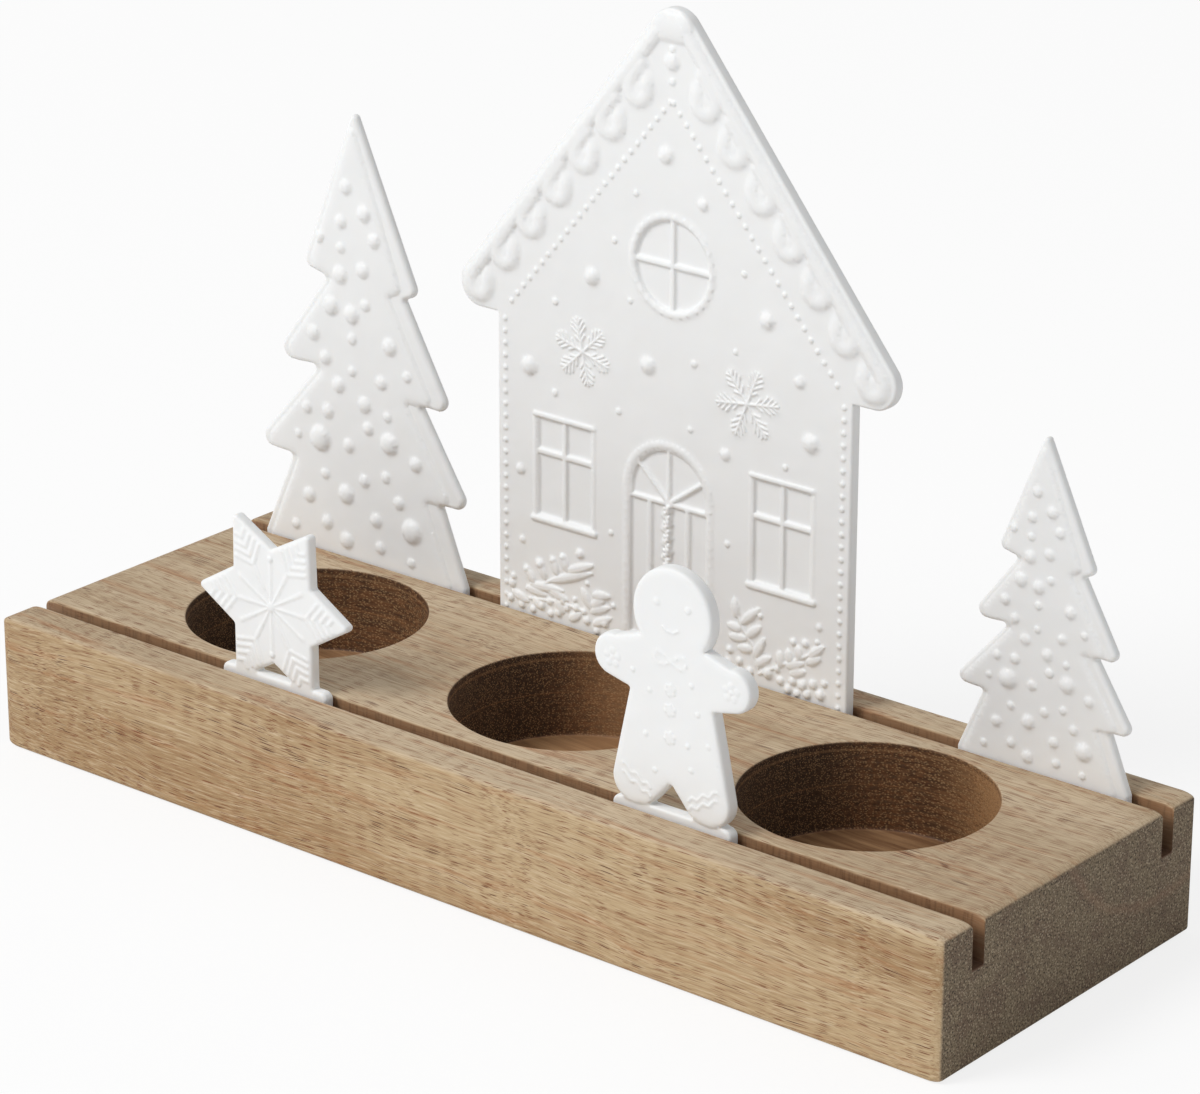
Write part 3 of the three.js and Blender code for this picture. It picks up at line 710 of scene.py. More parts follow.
# %% Distances
class Outline:
    """Closed lines of points: the outer one anticlockwise and any holes clockwise. A wall stands on them in a
    search tree, so that the nearest piece of wall says how far inside a point lies."""

    def __init__(self, *loops):
        self.loops = [np.asarray(loop, float) for loop in loops]
        wall, faces, self.edges = [], [], []
        for loop in self.loops:
            first, count = len(wall), len(loop)
            wall += [(x, y, side) for side in (-1, 1) for x, y in loop]
            along = np.roll(loop, -1, axis=0) - loop
            outward = np.column_stack([along[:, 1], -along[:, 0]]) / np.linalg.norm(along, axis=1)[:, None]
            corner = outward + np.roll(outward, 1, axis=0)
            for i in range(count):
                j = (i + 1) % count
                faces.append((first + i, first + j, first + count + j, first + count + i))
                self.edges.append((*loop[i], *corner[i], *outward[i], *loop[j], *corner[j]))
        self.tree = BVHTree.FromPolygons(wall, faces)
        everything = np.vstack(self.loops)
        self.low, self.high = everything.min(0), everything.max(0)

    def depth(self, points):
        """How far inside each point lies, negative outside. Where a corner is nearest, the directions of the
        two walls that meet there are added, or the sign would be wrong in a sharp notch."""
        out = np.empty(len(points))
        for i, (x, y) in enumerate(points.tolist()):
            near, _, face, far = self.tree.find_nearest((x, y, 0))
            ax, ay, anx, any_, nx, ny, bx, by, bnx, bny = self.edges[face]
            if abs(near.x - ax) + abs(near.y - ay) < 1e-4:
                nx, ny = anx, any_
            elif abs(near.x - bx) + abs(near.y - by) < 1e-4:
                nx, ny = bnx, bny
            out[i] = -far if (x - near.x) * nx + (y - near.y) * ny > 0 else far
        return out

    def near(self, points):
        """Which points lie in the outline's box."""
        return np.where(((points > self.low) & (points < self.high)).all(1))[0]

    def rings(self, depths):
        """Points inside the outline at the given depths, left out where it is too narrow for them."""
        found = []
        for loop in self.loops:
            along = np.roll(loop, -1, axis=0) - np.roll(loop, 1, axis=0)
            inward = np.column_stack([-along[:, 1], along[:, 0]]) / np.linalg.norm(along, axis=1)[:, None]
            for depth in depths:
                ring = loop + inward * depth
                found.append(ring[np.abs(self.depth(ring) - depth) < 0.07 * abs(depth) + 0.01])
        return np.vstack(found)


# %% The plate
softenings = 2
seed_pitch = 0.45
row_pitch = 0.87
least_gap = 0.14
rear_grid = 5


class Plate:
    """A cast plate: outline, thickness and relief, in millimetres, with its back at height 0."""

    def __init__(self, outline, thickness, edge, grid, level=0):
        self.outline = outline
        self.thickness = thickness
        self.edge = edge
        self.grid = grid
        self.level = level
        self.areas = []
        self.chains = []

    def area(self, loop, rise, edge):
        """A flat area that stands proud by rise, or is sunk if rise is negative, with a soft edge."""
        self.areas.append((Outline(loop), rise, edge))

    def chain(self, path, radii, rises):
        """Discs along a path that join into a round bead, or a round scratch if rises are negative."""
        path = np.atleast_2d(np.asarray(path, float))
        count = len(path)
        self.chains.append((path, np.broadcast_to(radii, count), np.broadcast_to(rises, count)))

    def dot(self, x, y, radius, rise):
        self.chain([(x, y)], radius, rise)

    def line(self, points, width, rise):
        """A bead of even width along straight or curved points."""
        self.chain(evenly(points, min(0.3, width / 3)), width / 2, rise)

    def leaf(self, start, end, half_width, rise, vein):
        """A pointed leaf from start to end with a scratched vein."""
        start, end = np.array(start, float), np.array(end, float)
        share = np.linspace(0.04, 0.96, max(8, math.ceil(np.linalg.norm(end - start) / 0.3)))
        swell = np.sin(np.pi * share ** 0.8) ** 0.7
        path = start + (end - start) * share[:, None]
        self.chain(path, 0.15 + half_width * swell, rise * (0.35 + 0.65 * swell))
        if vein:
            self.chain(path, 0.22, -vein * rise)

    def height(self, points):
        """The relief's height over the plain face at each point."""
        proud, sunk, bead, scratch = np.zeros((4, len(points)))
        for outline, rise, edge in self.areas:
            near = outline.near(points)
            share = np.clip(outline.depth(points[near]) / edge, 0, 1)
            store = proud if rise > 0 else sunk
            store[near] = np.maximum(store[near], abs(rise) * np.sqrt(1 - (1 - share) ** 2))
        order = np.argsort(points[:, 1])
        rows = points[order, 1]
        for path, radii, rises in self.chains:
            low, high = (path - radii[:, None]).min(0), (path + radii[:, None]).max(0)
            near = order[slice(*np.searchsorted(rows, (low[1], high[1])))]
            near = near[(points[near, 0] > low[0]) & (points[near, 0] < high[0])]
            if not len(near):
                continue
            far = ((points[near, None, :] - path) ** 2).sum(2) / radii ** 2
            form = (np.abs(rises) * np.sqrt(np.clip(1 - far, 0, 1))).max(1)
            store = bead if rises[0] > 0 else scratch
            store[near] = np.maximum(store[near], form)
        return self.level + proud - sunk + bead - scratch

    def seeds(self):
        """Mesh points along the contours of every form."""
        found = [np.empty((0, 2))]
        for outline, _, edge in self.areas:
            even = Outline(evenly(outline.loops[0], seed_pitch, closed=True))
            found.append(even.rings([-0.06, 0.04, 0.3 * edge, 0.65 * edge, edge + 0.05]))
        for path, radii, _ in self.chains:
            pitch = np.linalg.norm(path[-1] - path[0]) / len(path)
            keep = np.arange(0, len(path), max(1, round(seed_pitch / max(0.05, pitch))))
            along = path[-1] - path[0]
            sides = 12 if radii.max() > 0.7 else 8
            turns = math.atan2(along[1], along[0]) + 2 * np.pi * np.arange(sides) / sides
            ring = np.column_stack([np.cos(turns), np.sin(turns)])
            for share in (1.07, 0.94, 0.72, 0.4):
                points = (path[keep, None, :] + share * radii[keep, None, None] * ring).reshape(-1, 2)
                near = np.sqrt((((points[:, None, :] - path) ** 2).sum(2) / radii ** 2).min(1))
                found.append(points[np.abs(near - share) < 0.06])
            found.append(path[keep])
        return np.vstack(found)

    def rounding(self, points):
        """How far the face drops near the outline, where the edge is rounded."""
        share = np.clip(self.outline.depth(points) / self.edge, 0, 1)
        return self.edge * (1 - np.sqrt(1 - (1 - share) ** 2))

    def sheet(self, seeds, grid):
        """Triangles over the outline with the given points and an even grid. Returns points, triangles and
        the places of the points of each loop."""
        low, high = self.outline.low, self.outline.high
        contours = self.outline.rings([self.edge * share for share in (0.05, 0.18, 0.4, 0.7, 1.03)])
        loose = [seeds]
        for i, y in enumerate(np.arange(low[1], high[1], grid * row_pitch)):
            across = np.arange(low[0] + grid / 2 * (i % 2), high[0], grid)
            loose.append(np.column_stack([across, np.full(len(across), y)]))
        rest = np.vstack(loose)
        rest = rest[self.outline.depth(rest) > self.edge * 1.15]
        free = np.vstack([contours, rest])
        _, first = np.unique(np.round(free / least_gap).astype(int), axis=0, return_index=True)
        points, faces, rings = join_points(self.outline.loops, free[np.sort(first)])
        if len(rings) > 1:
            solid = self.outline.depth(points[faces].mean(1)) > 0
            faces = faces[solid]
        return points, faces, rings

    def build(self):
        """Vertices and faces of the whole plate, closed all round."""
        points, faces, rings = self.sheet(self.seeds(), self.grid)
        border = np.concatenate(rings)
        heights = self.height(points)
        for _ in range(softenings):
            heights = smoothed(heights, faces, border)
        heights += self.thickness - self.rounding(points)
        heights[border] = self.thickness + self.level - self.edge
        rear, rear_faces, rear_rings = self.sheet(np.empty((0, 2)), rear_grid)
        rear_heights = self.rounding(rear)
        rear_heights[np.concatenate(rear_rings)] = self.edge
        count = len(points)
        verts = np.vstack([np.column_stack([points, heights]), np.column_stack([rear, rear_heights])])
        walls = []
        for ring, behind in zip(rings, rear_rings):
            a, b = ring, np.roll(ring, -1)
            c, d = count + np.roll(behind, -1), count + behind
            walls += np.column_stack([a, d, c, b]).tolist()
        return verts, faces.tolist() + (rear_faces[:, ::-1] + count).tolist() + walls


def smoothed(values, faces, fixed):
    """Each value drawn halfway to the mean of its neighbours, to soften creases."""
    pairs = np.vstack([faces[:, [0, 1]], faces[:, [1, 2]], faces[:, [2, 0]]])
    pairs = np.vstack([pairs, pairs[:, ::-1]])
    total = np.bincount(pairs[:, 0], values[pairs[:, 1]], len(values))
    mean = total / np.maximum(np.bincount(pairs[:, 0], minlength=len(values)), 1)
    mean[fixed] = values[fixed]
    return (values + mean) / 2


# %% Standing a plate in its groove
def stand(plate, name, node):
    """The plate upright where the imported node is: its back at the node's back, its face to the front."""
    low, high = (Vector(v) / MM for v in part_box(node))
    middle = (low.x + high.x) / 2
    verts, faces = plate.build()
    placed = [(middle + x, high.y - depth, block_top + up) for x, up, depth in verts]
    new_object(name, placed, faces, porcelain, node, node)
    print(name, len(placed), "points", len(faces), "faces")


plate_thickness = 3.4
plate_edge = 0.7
foot_depth = block_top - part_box("house")[0].z / MM
print("plates reach", round(foot_depth, 2), "mm into their grooves")


# %% [markdown]
# ## Trees
# Both trees come from one drawing, and the small one is the large one scaled down. A fir is drawn as tiers
# whose tips hang over the tier below. Inside its rim lies a slightly raised field, and on the field stand
# piped dots, set by hand without any order. Each tree leans a touch to the left, as castings do.

# %% Trees
tree_height = 123
tree_half_base = 36
tree_left, tree_right = -1, 1
tier_tips = {
    tree_left: [(20, 78.9, 2.6), (31.8, 50.6, 3.4), (39.2, 24.6, 3.4)],
    tree_right: [(20.2, 77.8, 2.4), (31.5, 47.4, 2.6), (37.4, 21.8, 2.6)]}
tier_notches = {
    tree_left: [(11.4, 77, 1), (14.9, 51.6, 1), (25.2, 24.2, 1)],
    tree_right: [(15.6, 75.9, 0.8), (20.8, 48, 0.8), (27.4, 21.6, 0.8)]}
tree_apex_x = -0.8
tree_apex_radius = 1.2
tree_edge = 1.3
rim_drop = 0.6
rim_borders = (2.6, 4.6)
rim_apex = 3
field_edge = 2.6
tree_dot_rise = 0.42
small_tree_scale = 0.687
tree_dots = [
    (-3, 103.3, 2), (3.3, 97.1, 2.2), (-5, 93.5, 1.9), (6.6, 90.4, 2), (-12.9, 87.9, 1.7),
    (-5.2, 86.3, 1.5), (2.4, 81.5, 2.1), (-5.6, 78.8, 2.4), (3.2, 72.1, 1.6), (-9.2, 69.6, 2.6),
    (-1.8, 68.5, 2.5), (11.5, 62.4, 2.3), (-1.8, 61.8, 1.6), (-15.7, 60.7, 2.1), (-11.5, 54.6, 1.9),
    (17.4, 55.4, 1.5), (-2, 52.8, 1.4), (8.3, 51.7, 1.9), (-7, 47.9, 2.1), (2.2, 44.3, 2.2),
    (10.2, 42.6, 1.4), (-18.7, 39.1, 1.7), (-11.1, 39.6, 2), (3.3, 37.9, 1.8), (10.8, 35.2, 2.9),
    (-14, 31.3, 3.5), (-22, 30.9, 1.3), (-3.8, 31.5, 1.9), (20, 31.6, 2), (9.3, 25.5, 1.6),
    (1.6, 22.7, 1.8), (-12.5, 21.6, 1.5), (13.8, 19.3, 1.8), (-5.1, 17.4, 2.6), (-18.6, 14.1, 2.1),
    (5.6, 12.4, 2), (18.2, 12.2, 3.3), (-12.2, 7.7, 1.9), (-23.7, 4.6, 1.5), (6.9, 4.9, 1.7),
    (17.9, 3.3, 1.4), (-5.2, 4.1, 2.3)]


def tree_outline(scale, borders=(0, 0), apex_border=0, foot=0):
    """The tree's outline, drawn in by a border on its left and another on its right."""
    tip_half, tip_height, _ = tier_tips[tree_right][0]
    half_angle = math.atan2(tip_half, tree_height - tip_height)
    above = tree_apex_radius * (1 / math.sin(half_angle) - 1)
    down = {}
    for side, border in zip((tree_left, tree_right), borders):
        tiers = [corner for pair in zip(tier_tips[side], tier_notches[side]) for corner in pair]
        down[side] = [(side * (x - border) * scale, y * scale, radius * scale)
                      for x, y, radius in [*tiers, (tree_half_base, 0, 0)]]
        down[side].append((side * (tree_half_base - border) * scale, -foot, 0))
    apex_height = (tree_height + above - apex_border) * scale
    apex_corner = (tree_apex_x * scale, apex_height, tree_apex_radius * scale)
    return rounded([apex_corner, *down[tree_left], *down[tree_right][::-1]])


def make_tree(name, node, scale, lean):
    """A tree with a lowered rim, a raised field and dots. Lean says how far it leans left per height."""

    def leaned(points):
        return np.asarray(points) @ [[1, 0], [-lean, 1]]

    drop = rim_drop * math.sqrt(scale)
    border = leaned(tree_outline(scale, foot=foot_depth))
    plate = Plate(Outline(border), plate_thickness, tree_edge * math.sqrt(scale), 0.62, -drop)
    field = leaned(tree_outline(scale, rim_borders, rim_apex, foot_depth - 1))
    plate.area(field, drop, field_edge * scale)
    for x, y, radius in tree_dots:
        plate.dot(*leaned((x * scale, y * scale)), radius * scale, tree_dot_rise * radius * scale)
    stand(plate, name, node)


make_tree("large_tree", "tree_large", 1, 0.004)
make_tree("little_tree", "tree_small", small_tree_scale, 0.02)


# %% [markdown]
# ## House
# The house is the largest casting and takes the most care: piped icing along the roof, a string of pearls
# below it, a round window, two sash windows, an arched door, snowflakes, snow dots and sprigs of fir.

# %% House outline
def at_angle(centre, reach, turn):
    """The point that lies at a distance and an angle in radians from a centre."""
    return np.asarray(centre) + reach * np.array([math.cos(turn), math.sin(turn)])


def both_sides(right, top, step):
    """A closed outline from the lines of its right side, going up, and the line over its top."""
    left = [line[::-1] * [-1, 1] for line in reversed(right)]
    return evenly(np.vstack([*right, top, *left]), step, closed=True)


house_half_width = 56.5
house_wall = 80.2
house_height = 169.2
eave_out = 12.5
eave_radius = 6.5
apex_radius = 7.7
eave = np.array([house_half_width + eave_out - eave_radius, house_wall + eave_radius])
apex = np.array([0, house_height - apex_radius])
roof_run = apex - eave
roof_turn = math.atan2(roof_run[1], roof_run[0]) - math.acos(
    (eave_radius - apex_radius) / np.linalg.norm(roof_run))
roof_normal = at_angle((0, 0), 1, roof_turn)


def house_outline():
    """Walls, round eaves and a round ridge, anticlockwise."""
    right = [
        np.array([[house_half_width, -foot_depth], [house_half_width, house_wall]]),
        arc(eave, eave_radius, -math.pi / 2, roof_turn),
    ]
    return both_sides(right, arc(apex, apex_radius, roof_turn, math.pi - roof_turn), 0.5)


house_plate = Plate(Outline(house_outline()), plate_thickness, plate_edge, 0.75)

# %% Icing along the roof
icing_rise = 0.85
icing_rim = 1.5
icing_hooks = 7
top_hook = np.array([10.7, apex[1] - 14.1])
hook_radius = 2.9
band_half = 2
hook_bead = 2.1
cap_half = 2.6
cap_height = 164.4
cap_width = 7.6


def hook_path():
    """Points (out, up, radius, rise) of one hook round its middle: down from the band, round the bottom and
    up to the head, which fades."""
    along = np.array([-roof_normal[1], roof_normal[0]])
    points = [(*(3.35 * roof_normal + back * along), band_half, 1) for back in (6, 3)]
    points.append((2.9, 1.2, 2.05, 1))
    for i in range(9):
        turn = -math.pi * i / 8
        points.append((*at_angle((0, 0), hook_radius, turn), hook_bead, 1))
    points += [(-2.95, 1.5, 2.05, 1), (-2.95, 2.7, 1.8, 0.85), (-3, 3.9, 1.3, 0.5)]
    return np.array(points)


def add_icing(plate):
    """Band, hooks and cap. The hooks' beads are thick, so their steps are small beside their width."""
    low = eave + roof_normal * 3.4
    high = apex + roof_normal * (apex_radius - icing_rim - 1.7)
    hook = hook_path()
    steps = np.concatenate([[0], np.cumsum(np.linalg.norm(np.diff(hook[:, :2], axis=0), axis=1))])
    even = np.linspace(0, steps[-1], 64)
    hook = np.column_stack([np.interp(even, steps, hook[:, k]) for k in range(4)])
    for side in (-1, 1):
        turn = np.array([side, 1])
        plate.chain(evenly([low * turn, high * turn], 0.4), band_half, icing_rise)
        for i in range(icing_hooks):
            middle = top_hook + (eave - top_hook) * i / (icing_hooks - 1)
            plate.chain((middle + hook[:, :2]) * turn, hook[:, 2], icing_rise * hook[:, 3])
            plate.dot(*((middle + [0, -0.6]) * turn), 3, icing_rise * 0.6)
    plate.line([(-cap_half, cap_height), (cap_half, cap_height)], cap_width, icing_rise * 1.15)


add_icing(house_plate)
print("house: icing of", len(house_plate.chains), "beads")


# %% Pearls, drops and snow dots
pearl_radius = 0.75
pearl_rise = 0.42


def add_pearls(plate):
    for side in (-1, 1):
        string = evenly([(side * 0.5, 145.6), (side * 51.7, 84.2)], 3.25)
        wall = evenly([(side * 53.9, 79), (side * 53.9, 0)], 3.3)
        for x, y in [*string, *wall]:
            plate.dot(x, y, pearl_radius, pearl_rise)
    for x, y, radius in [(0, 159, 1), (0, 155.8, 2.2), (0, 150.8, 1)]:
        plate.dot(x, y, radius, 0.45 * radius)
    snow = [
        (-1.6, 132, 2.2), (9.9, 121.5, 1.6), (-11.1, 120.5, 0.9), (-25.1, 96, 2.2), (30.2, 96, 2.2),
        (-17.9, 107, 0.9), (22.9, 106.5, 0.9), (-12.8, 92.3, 0.8), (-37.1, 87, 1), (20.6, 86, 0.8),
        (40.4, 82.5, 1.6), (7.6, 80, 1), (-6.9, 76.5, 2.3), (-45.8, 68, 2.4), (44.1, 67.5, 2.4),
        (-16.4, 62.2, 0.9), (-37.3, 62.5, 1), (6.6, 62.5, 0.8), (17.7, 58.5, 1.6), (36.4, 59.5, 0.9),
        (-48.8, 39.2, 1.5), (18.7, 35, 0.9), (-18.8, 28.8, 0.8), (-48.3, 19.8, 1), (47.7, 20, 1)]
    for x, y, radius in snow:
        plate.dot(x, y, radius, 0.45 * radius + 0.05)


add_pearls(house_plate)
print("house:", len(house_plate.chains), "beads and dots with the pearls")

# %% Windows and door
pane_depth = 0.75
pane_edge = 0.65
bar = 1.3
spoke = 0.9


def box_loop(x0, y0, x1, y1, radius=0.3):
    return rounded([(x0, y0, radius), (x1, y0, radius), (x1, y1, radius), (x0, y1, radius)])


def add_round_window(plate, centre=(0.4, 103.9), radius=13.5, ring=1.8):
    centre = np.array(centre)
    plate.chain(arc(centre, radius - ring / 2, 0, 2 * math.pi, 0.3), ring / 2, 0.55)
    inner = radius - ring - 0.15
    for i in range(4):
        turn = i * math.pi / 2
        gap = math.asin(bar / 2 / inner)
        edge = arc(centre, inner, turn + gap, turn + math.pi / 2 - gap)
        corner = at_angle(centre, bar / 2 * math.sqrt(2), turn + math.pi / 4)
        plate.area(evenly(np.vstack([edge, corner]), 0.4, closed=True), -pane_depth, pane_edge)


def add_sash_window(plate, middle, sill, height, rail_drop, width=20.2, sill_height=2):
    left, right, top = middle - width / 2, middle + width / 2, sill + height
    rail = top - rail_drop
    for x0, x1 in ((left + bar, middle - bar / 2), (middle + bar / 2, right - bar)):
        plate.area(box_loop(x0, rail + bar / 2, x1, top - bar), -pane_depth, pane_edge)
        plate.area(box_loop(x0, sill + sill_height, x1, rail - bar / 2), -pane_depth, pane_edge)
    plate.line([(left + 0.4, top - 0.5), (right - 0.4, top - 0.5)], 1.5, 0.45)
    plate.line([(left, sill + sill_height / 2), (right, sill + sill_height / 2)], sill_height, 0.7)
    for x in (left + 0.3, right - 0.3):
        plate.line([(x, sill + 2), (x, top - 1)], 1, 0.15)


def add_door(plate, middle=-0.3, half=13.5, threshold=3.6, spring=43.2, rail=41, boards=4,
             garland_pitch=1.9):
    inner = half - bar
    frame_path = np.vstack([
        [[middle + half, threshold]], arc((middle, spring), half, 0, math.pi), [[middle - half, threshold]]])
    plate.chain(evenly(frame_path, 0.3), 1, 0.42)
    width = 2 * inner / boards
    for i in range(boards):
        x0 = middle - inner + i * width + (bar / 2 if i else 0)
        x1 = middle - inner + (i + 1) * width - (bar / 2 if i < boards - 1 else 0)
        plate.area(box_loop(x0, threshold, x1, rail - bar / 2), -pane_depth, pane_edge)
    foot = np.array([middle, rail])
    spokes = [math.radians(v) for v in (0, 36, 90, 137, 180)]
    for start, end in zip(spokes, spokes[1:]):
        fan_pane(plate, foot, spring, inner, start, end)
    garland = middle - 0.6
    for i in range(9):
        y = rail - 1 - garland_pitch * i
        side = (-1) ** i
        plate.dot(garland + side * 0.85, y, 0.85 + 0.12 * math.cos(2.3 * i), 0.7)
        plate.dot(garland - side * 0.9, y - 0.7, 0.62, 0.55)
        plate.leaf((garland, y - 1.4), (garland + side * 1.9, y - 0.4), 0.5, 0.6, 0)


def fan_pane(plate, foot, spring, inner, start, end):
    """One pane of the fanlight: between two spokes, the rail and the arch."""
    edge = []
    for turn in np.linspace(start, end, 12):
        ray = at_angle((0, 0), 1, turn)
        rise = foot[1] - spring
        reach = -ray[1] * rise + math.sqrt(max(0, (ray[1] * rise) ** 2 - rise ** 2 + inner ** 2))
        edge.append(foot + ray * reach)
    centre = at_angle((0, 0), 1, (start + end) / 2)
    pane = np.vstack([edge, foot])
    inset = Outline(evenly(pane, 0.4, closed=True)).rings([spoke / 2])
    order = np.argsort(np.arctan2(*(inset - (foot + centre * inner * 0.6)).T[::-1]))
    plate.area(evenly(inset[order], 0.5, closed=True), -pane_depth, pane_edge)


add_round_window(house_plate)
add_sash_window(house_plate, -34.3, 26, 30, 10.5)
add_sash_window(house_plate, 35.6, 25, 30.7, 11.2)
add_door(house_plate)
print("house:", len(house_plate.areas), "panes and boards")


# %% Snowflakes and sprigs
# Where along an arm each pair of barbs stands and how long it is, as shares of the arm
snowflake_barbs = ((0.28, 0.26), (0.46, 0.36), (0.64, 0.3), (0.82, 0.2))
barb_turn = math.radians(42)


def add_snowflake(plate, centre, radius, turn):
    """Six feathered arms: a spine and slanting barbs that grow shorter towards the tip."""
    centre = np.array(centre, float)
    for i in range(6):
        angle = turn + i * math.pi / 3
        along = at_angle((0, 0), 1, angle)
        plate.line([centre, centre + along * radius], 0.8, 0.42)
        for share, length in snowflake_barbs:
            root = centre + along * radius * share
            for side in (-1, 1):
                tip = at_angle(root, radius * length, angle + side * barb_turn)
                plate.line([root, tip], 0.7, 0.36)
    plate.dot(*centre, 1, 0.5)


def add_sprigs(plate):
    """Two sprigs beside the door: thin stems, plump leaves on them, and berries heaped at the foot."""
    stems = [
        [(-46.9, 6.4), (-40.5, 9.6), (-34.7, 13.1), (-27, 16.8)],
        [(-46, 4), (-36, 5.5), (-27, 5)],
        [(29.1, 4.3), (27.2, 9.9), (23.5, 14.1), (21.6, 18.8)],
        [(29.4, 2.8), (36.1, 6.8), (43.6, 11.1), (49.2, 15)]]
    for stem in stems:
        plate.line(stem, 0.9, 0.45)
    leaves = [
        (-33, 14.8, -24.3, 18.5), (-38.8, 10.6, -24.6, 16.2), (-46.9, 11.9, -44, 8.4),
        (-42.4, 14.4, -40.4, 10.4), (-38.1, 16.4, -36.4, 12.6), (-34.7, 18.1, -33.2, 14.4),
        (-47, 6.8, -40, 6.2), (-45.7, 8, -34.3, 8.8),
        (-39.6, 8, -32.7, 6.5), (-51.6, 4.6, -46.3, 2.9), (-44.5, 4.3, -41, 2), (-37, 5.8, -34.4, 2.6),
        (-28.2, 11, -25.2, 6), (-24.6, 10.3, -18.7, 11.2), (-25.2, 5.5, -19, 8.1), (-25, 7.3, -20.4, 10),
        (-24.4, 2.2, -18.4, 5.4), (-32.4, 1.6, -28.6, 4),
        (21.9, 16.4, 21.2, 21.2), (23.6, 15, 29.3, 20.4), (23.2, 13.2, 19.2, 13.6), (20, 10.6, 25.4, 11.2),
        (25.6, 12, 29.7, 15.6), (26.6, 8.6, 22.6, 8.2), (27.8, 7, 31, 12.8), (28.4, 5, 33, 8.2),
        (36.1, 6.6, 35.7, 10.6), (38, 7.2, 43.2, 9.2), (39.3, 5.4, 43.8, 7.2), (41.9, 10.3, 41.3, 13.4),
        (45, 11.7, 49.3, 15.3), (44.3, 9.7, 48.5, 12), (39.1, 8.6, 38.3, 11.6)]
    for x0, y0, x1, y1 in leaves:
        plate.leaf((x0, y0), (x1, y1), 1.15, 0.75, 0.12)
    berries = [
        (-51.4, 8.8, 0.9), (-46.9, 11.9, 1.1), (-42.4, 14.4, 1.4), (-38.1, 16.4, 1.1), (-34.7, 18.1, 1.1),
        (-29, 20.5, 1.3), (-26.6, 12.9, 0.7), (-51.8, 6.8, 1.2), (-17.9, 8.9, 0.8), (-20.6, 3.4, 1.2),
        (-41.8, 3, 1.2), (-39.2, 4.8, 1), (-36.1, 2.4, 1.2), (-33.3, 4.4, 1), (-30.2, 5.2, 1.1),
        (-26.6, 2.7, 1.2), (-48.5, 1.6, 1.1), (-30.7, 7.4, 0.8), (-27.6, 4.8, 0.9), (-34.7, 6, 0.9),
        (-44.8, 1.2, 1), (-38.8, 1.5, 1),
        (-52.4, 2.6, 1.1), (-23.4, 0.6, 1), (29.4, 18.4, 0.8), (39.9, 14.1, 1), (43.6, 14.7, 1.1),
        (47.3, 15.9, 0.8), (32, 3.6, 1.5), (35, 5.6, 1), (36, 2.7, 1.2), (39.9, 3.6, 1.2), (42.9, 3.3, 1.4),
        (46.2, 4.4, 1.3), (44.4, 1.2, 1.2), (48.5, 2.1, 1.4), (38.4, 1, 1.2), (20, 6.9, 1), (19.4, 3.4, 1.2),
        (23, 4.6, 1.1), (26.3, 2.6, 1.2), (49.6, 5.4, 1), (41.2, 0.6, 1)]
    for x, y, radius in berries:
        plate.dot(x, y, radius, 0.75 * radius)


add_snowflake(house_plate, (-28.1, 75.5), 8.8, math.radians(43))
add_snowflake(house_plate, (24.4, 73.3), 9.6, math.radians(8))
add_sprigs(house_plate)
stand(house_plate, "house_plate", "house")

# %% [markdown]
# ## Star
# The star is two triangles laid across each other. It stands on two of its points, which run into a low foot
# bar. Twelve fine rays run out from its middle, and nested angles fill its points.

# %% Star
star_radius = 26.5
star_sink = 2.3
foot_half = 17.7
foot_rise = 1.6
foot_corner = 2.2
ray_lengths = (10.8, 12)
chevron_reaches = (11.7, 14.1, 16.6, 19.2)
chevron_turn = math.radians(50)
star_middle = star_radius * math.cos(math.pi / 6) - star_sink


def star_outline():
    """The star joined with its foot bar, anticlockwise from the foot's lower right corner. The notch
    between the two lower points stays open as a small triangle above the foot."""
    notch = star_radius / math.sqrt(3)

    def at(reach, turn):
        return at_angle((0, star_middle), reach, math.radians(turn))

    corners = [(foot_half, -foot_depth, 0), (foot_half, foot_rise, foot_corner)]
    meet = notch * math.cos(math.radians(30))
    corners.append((meet, foot_rise, 0.3))
    for i in range(-1, 7):
        tip, hollow = i * 60, i * 60 - 30
        if -30 <= hollow <= 210:
            corners.append((*at(notch, hollow), 0.6))
        if 0 <= tip <= 180:
            corners.append((*at(star_radius - 0.6, tip), 1.1))
    corners += [(-meet, foot_rise, 0.3), (-foot_half, foot_rise, foot_corner), (-foot_half, -foot_depth, 0)]
    return rounded(corners, 0.35)


def star_gap():
    """The small opening between the two lower points and the foot bar, clockwise."""
    top = star_middle - star_radius / math.sqrt(3)
    half = (top - foot_rise) / math.tan(math.pi / 6)
    return rounded([(0, top, 0.5), (half, foot_rise, 0.3), (-half, foot_rise, 0.3)], 0.25)


def make_star():
    plate = Plate(Outline(star_outline(), star_gap()), plate_thickness, 1, 0.5)
    middle = np.array([0, star_middle])
    for i in range(12):
        turn = i * math.pi / 6
        ray = evenly([at_angle(middle, 1, turn), at_angle(middle, ray_lengths[i % 2], turn)], 0.3)
        plate.chain(ray, np.linspace(0.35, 0.7, len(ray)), 0.25)
    for i in range(6):
        point = i * math.pi / 3
        for reach in chevron_reaches:
            bend = at_angle(middle, reach, point)
            arm = 0.51 * (star_radius - reach) - 1.55
            for side in (-1, 1):
                tip = at_angle(bend, arm, point + side * chevron_turn)
                plate.line([bend, tip], 1.2, 0.26)
    for i in (1, 4):
        plate.dot(*at_angle(middle, 12.8, math.pi / 6 + i * math.pi / 3), 0.9, 0.6)
    plate.dot(*middle, 1.5, 0.5)
    stand(plate, "star_plate", "star")


make_star()


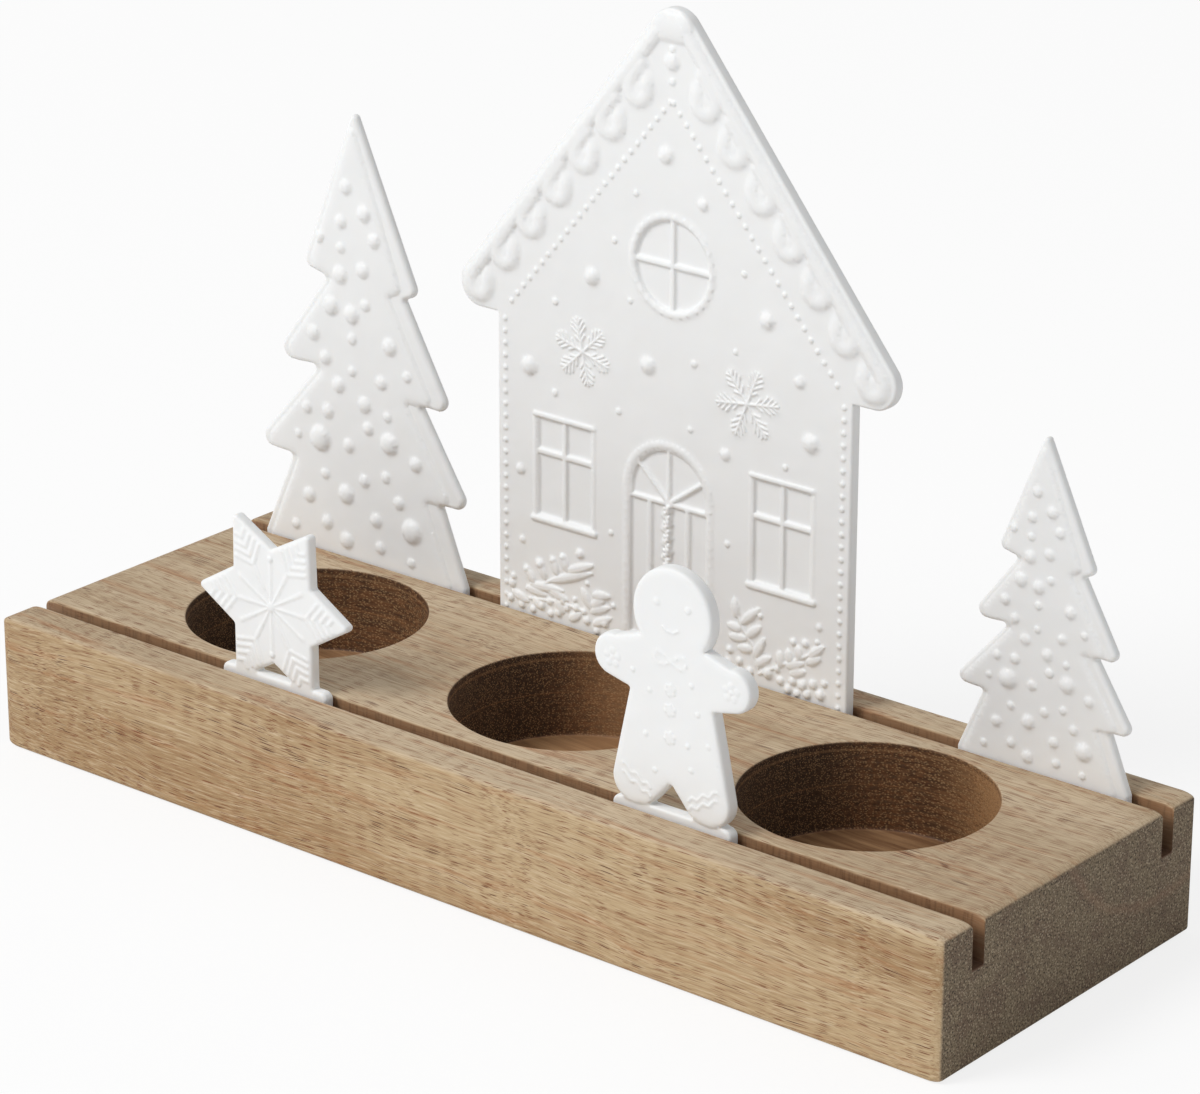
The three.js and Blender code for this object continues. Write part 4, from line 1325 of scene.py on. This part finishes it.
# %% [markdown]
# ## Gingerbread man
# The biscuit figure is thicker looking than the rest because its edges are rounder. Its face, bow tie,
# buttons and the icing at its hands and feet are hardly raised.

# %% Gingerbread man
head_radius = 11.7
head_height = 51.3
arm_reach = 23.2
arm_radius = 5.4
arm_height = 37
neck_half = 9.6
armpit_half = 12.6
armpit_drop = 7.2
hip_half = 17.5
man_foot_radius = 6
man_foot_height = 7
man_thickness = 3.9
man_step = 0.5
leg_gap_height = 8.8
leg_gap_half = 6.9
man_foot_x = hip_half - man_foot_radius
sole = man_foot_height - man_foot_radius


def leg_bend():
    """Where the straight inner side of the right leg turns into the toe."""
    top = np.array([0, leg_gap_height])
    return top + 0.8 * (np.array([leg_gap_half, sole]) - top)


def man_side(with_bar):
    """The right side from the bottom to the neck: up from the foot bar, or down from the gap between the
    legs and round the foot."""
    arm_x = arm_reach - arm_radius
    armpit = arm_height - armpit_drop
    lean = math.atan2(hip_half - armpit_half, armpit - man_foot_height)
    half = math.pi / 2
    if with_bar:
        start = 0.1 - math.asin((man_foot_height - foot_rise) / man_foot_radius)
        low = [np.array([[foot_half, -foot_depth]]),
               arc((foot_half - foot_corner, foot_rise - foot_corner), foot_corner, 0, half, 0.3)]
    else:
        start = -half
        share = np.linspace(0, 1, 10)[:, None]
        corner = np.array([leg_gap_half, sole])
        toe = ((1 - share) ** 2 * leg_bend() + 2 * (1 - share) * share * corner
               + share ** 2 * np.array([man_foot_x, sole]))
        low = [np.array([[0.4, leg_gap_height - 0.3]]), toe[:-1]]
    return low + [
        arc((man_foot_x, man_foot_height), man_foot_radius, start, lean),
        arc((armpit_half + 0.5, armpit + 0.1), 0.5, math.pi, 1.15 * half, 0.2),
        arc((arm_x, arm_height), arm_radius, -0.8 * half, 1.1 * half)]


def man_outline(with_bar=True):
    """The whole figure, anticlockwise, with or without its foot bar."""
    neck = -math.acos(neck_half / head_radius)
    return both_sides(man_side(with_bar), arc((0, head_height), head_radius, neck, math.pi - neck), 0.35)


def man_gap():
    """The opening between the legs and the foot bar, clockwise."""
    x, y = leg_bend()
    return rounded([(0, leg_gap_height, 0.9), (x, y, 1.5), (leg_gap_half, foot_rise, 0.3),
                    (-leg_gap_half, foot_rise, 0.3), (-x, y, 1.5)], 0.3)


buttons = (32.9, 27.8, 20.8)
hand_flowers = ((-17.4, 36.6), (17.8, 37))
sugar_dots = ((-11.2, 35.2), (-6.1, 31.3), (6.2, 35.6), (8.1, 28.8), (-7.2, 20), (5.3, 20.1), (11.4, 21.5),
              (6.4, 14.2), (-4.4, 11.4))


def make_man():
    plate = Plate(Outline(man_outline(), man_gap()), man_thickness, plate_edge, 0.5, -man_step)
    plate.area(man_outline(with_bar=False), man_step, 1.9)
    for side in (-1, 1):
        plate.dot(side * 4.6 + 0.4, 54, 0.95, 0.3)
        bow = [(0, 39.9), (side * 2, 41.4), (side * 4, 41.9), (side * 4.8, 40.4), (side * 3.8, 38.7),
               (side * 2, 38.9), (0, 39.9)]
        plate.line(bow, 0.8, 0.25)
    smile = [(-2.4, 48.2), (-1.3, 47.5), (0.6, 47.3), (2.4, 48.2)]
    plate.line(smile, 0.65, 0.25)
    for y in buttons:
        plate.dot(0, y, 1.7, 0.22)
        for i in range(6):
            plate.dot(*at_angle((0, y), 1.3, i * math.pi / 3 + 0.3), 0.55, 0.25)
    for hand in hand_flowers:
        for i in range(5):
            plate.dot(*at_angle(hand, 1.7, i * 2 * math.pi / 5 + 0.3), 0.95, 0.2)
        plate.dot(*hand, 0.7, 0.25)
    for x, y in sugar_dots:
        plate.dot(x, y, 0.75, 0.24)
    for side in (-1, 1):
        for row in range(2):
            wave = []
            for i in range(17):
                t = i / 16
                along = 5.8 + 8.4 * t
                wave.append((side * along, 6.4 - 2.2 * row + 4.2 * t + 0.5 * math.sin(t * 5 * math.pi)))
            plate.line(wave, 0.9, 0.2)
    stand(plate, "gingerbread_man_plate", "gingerbread_man")


make_man()
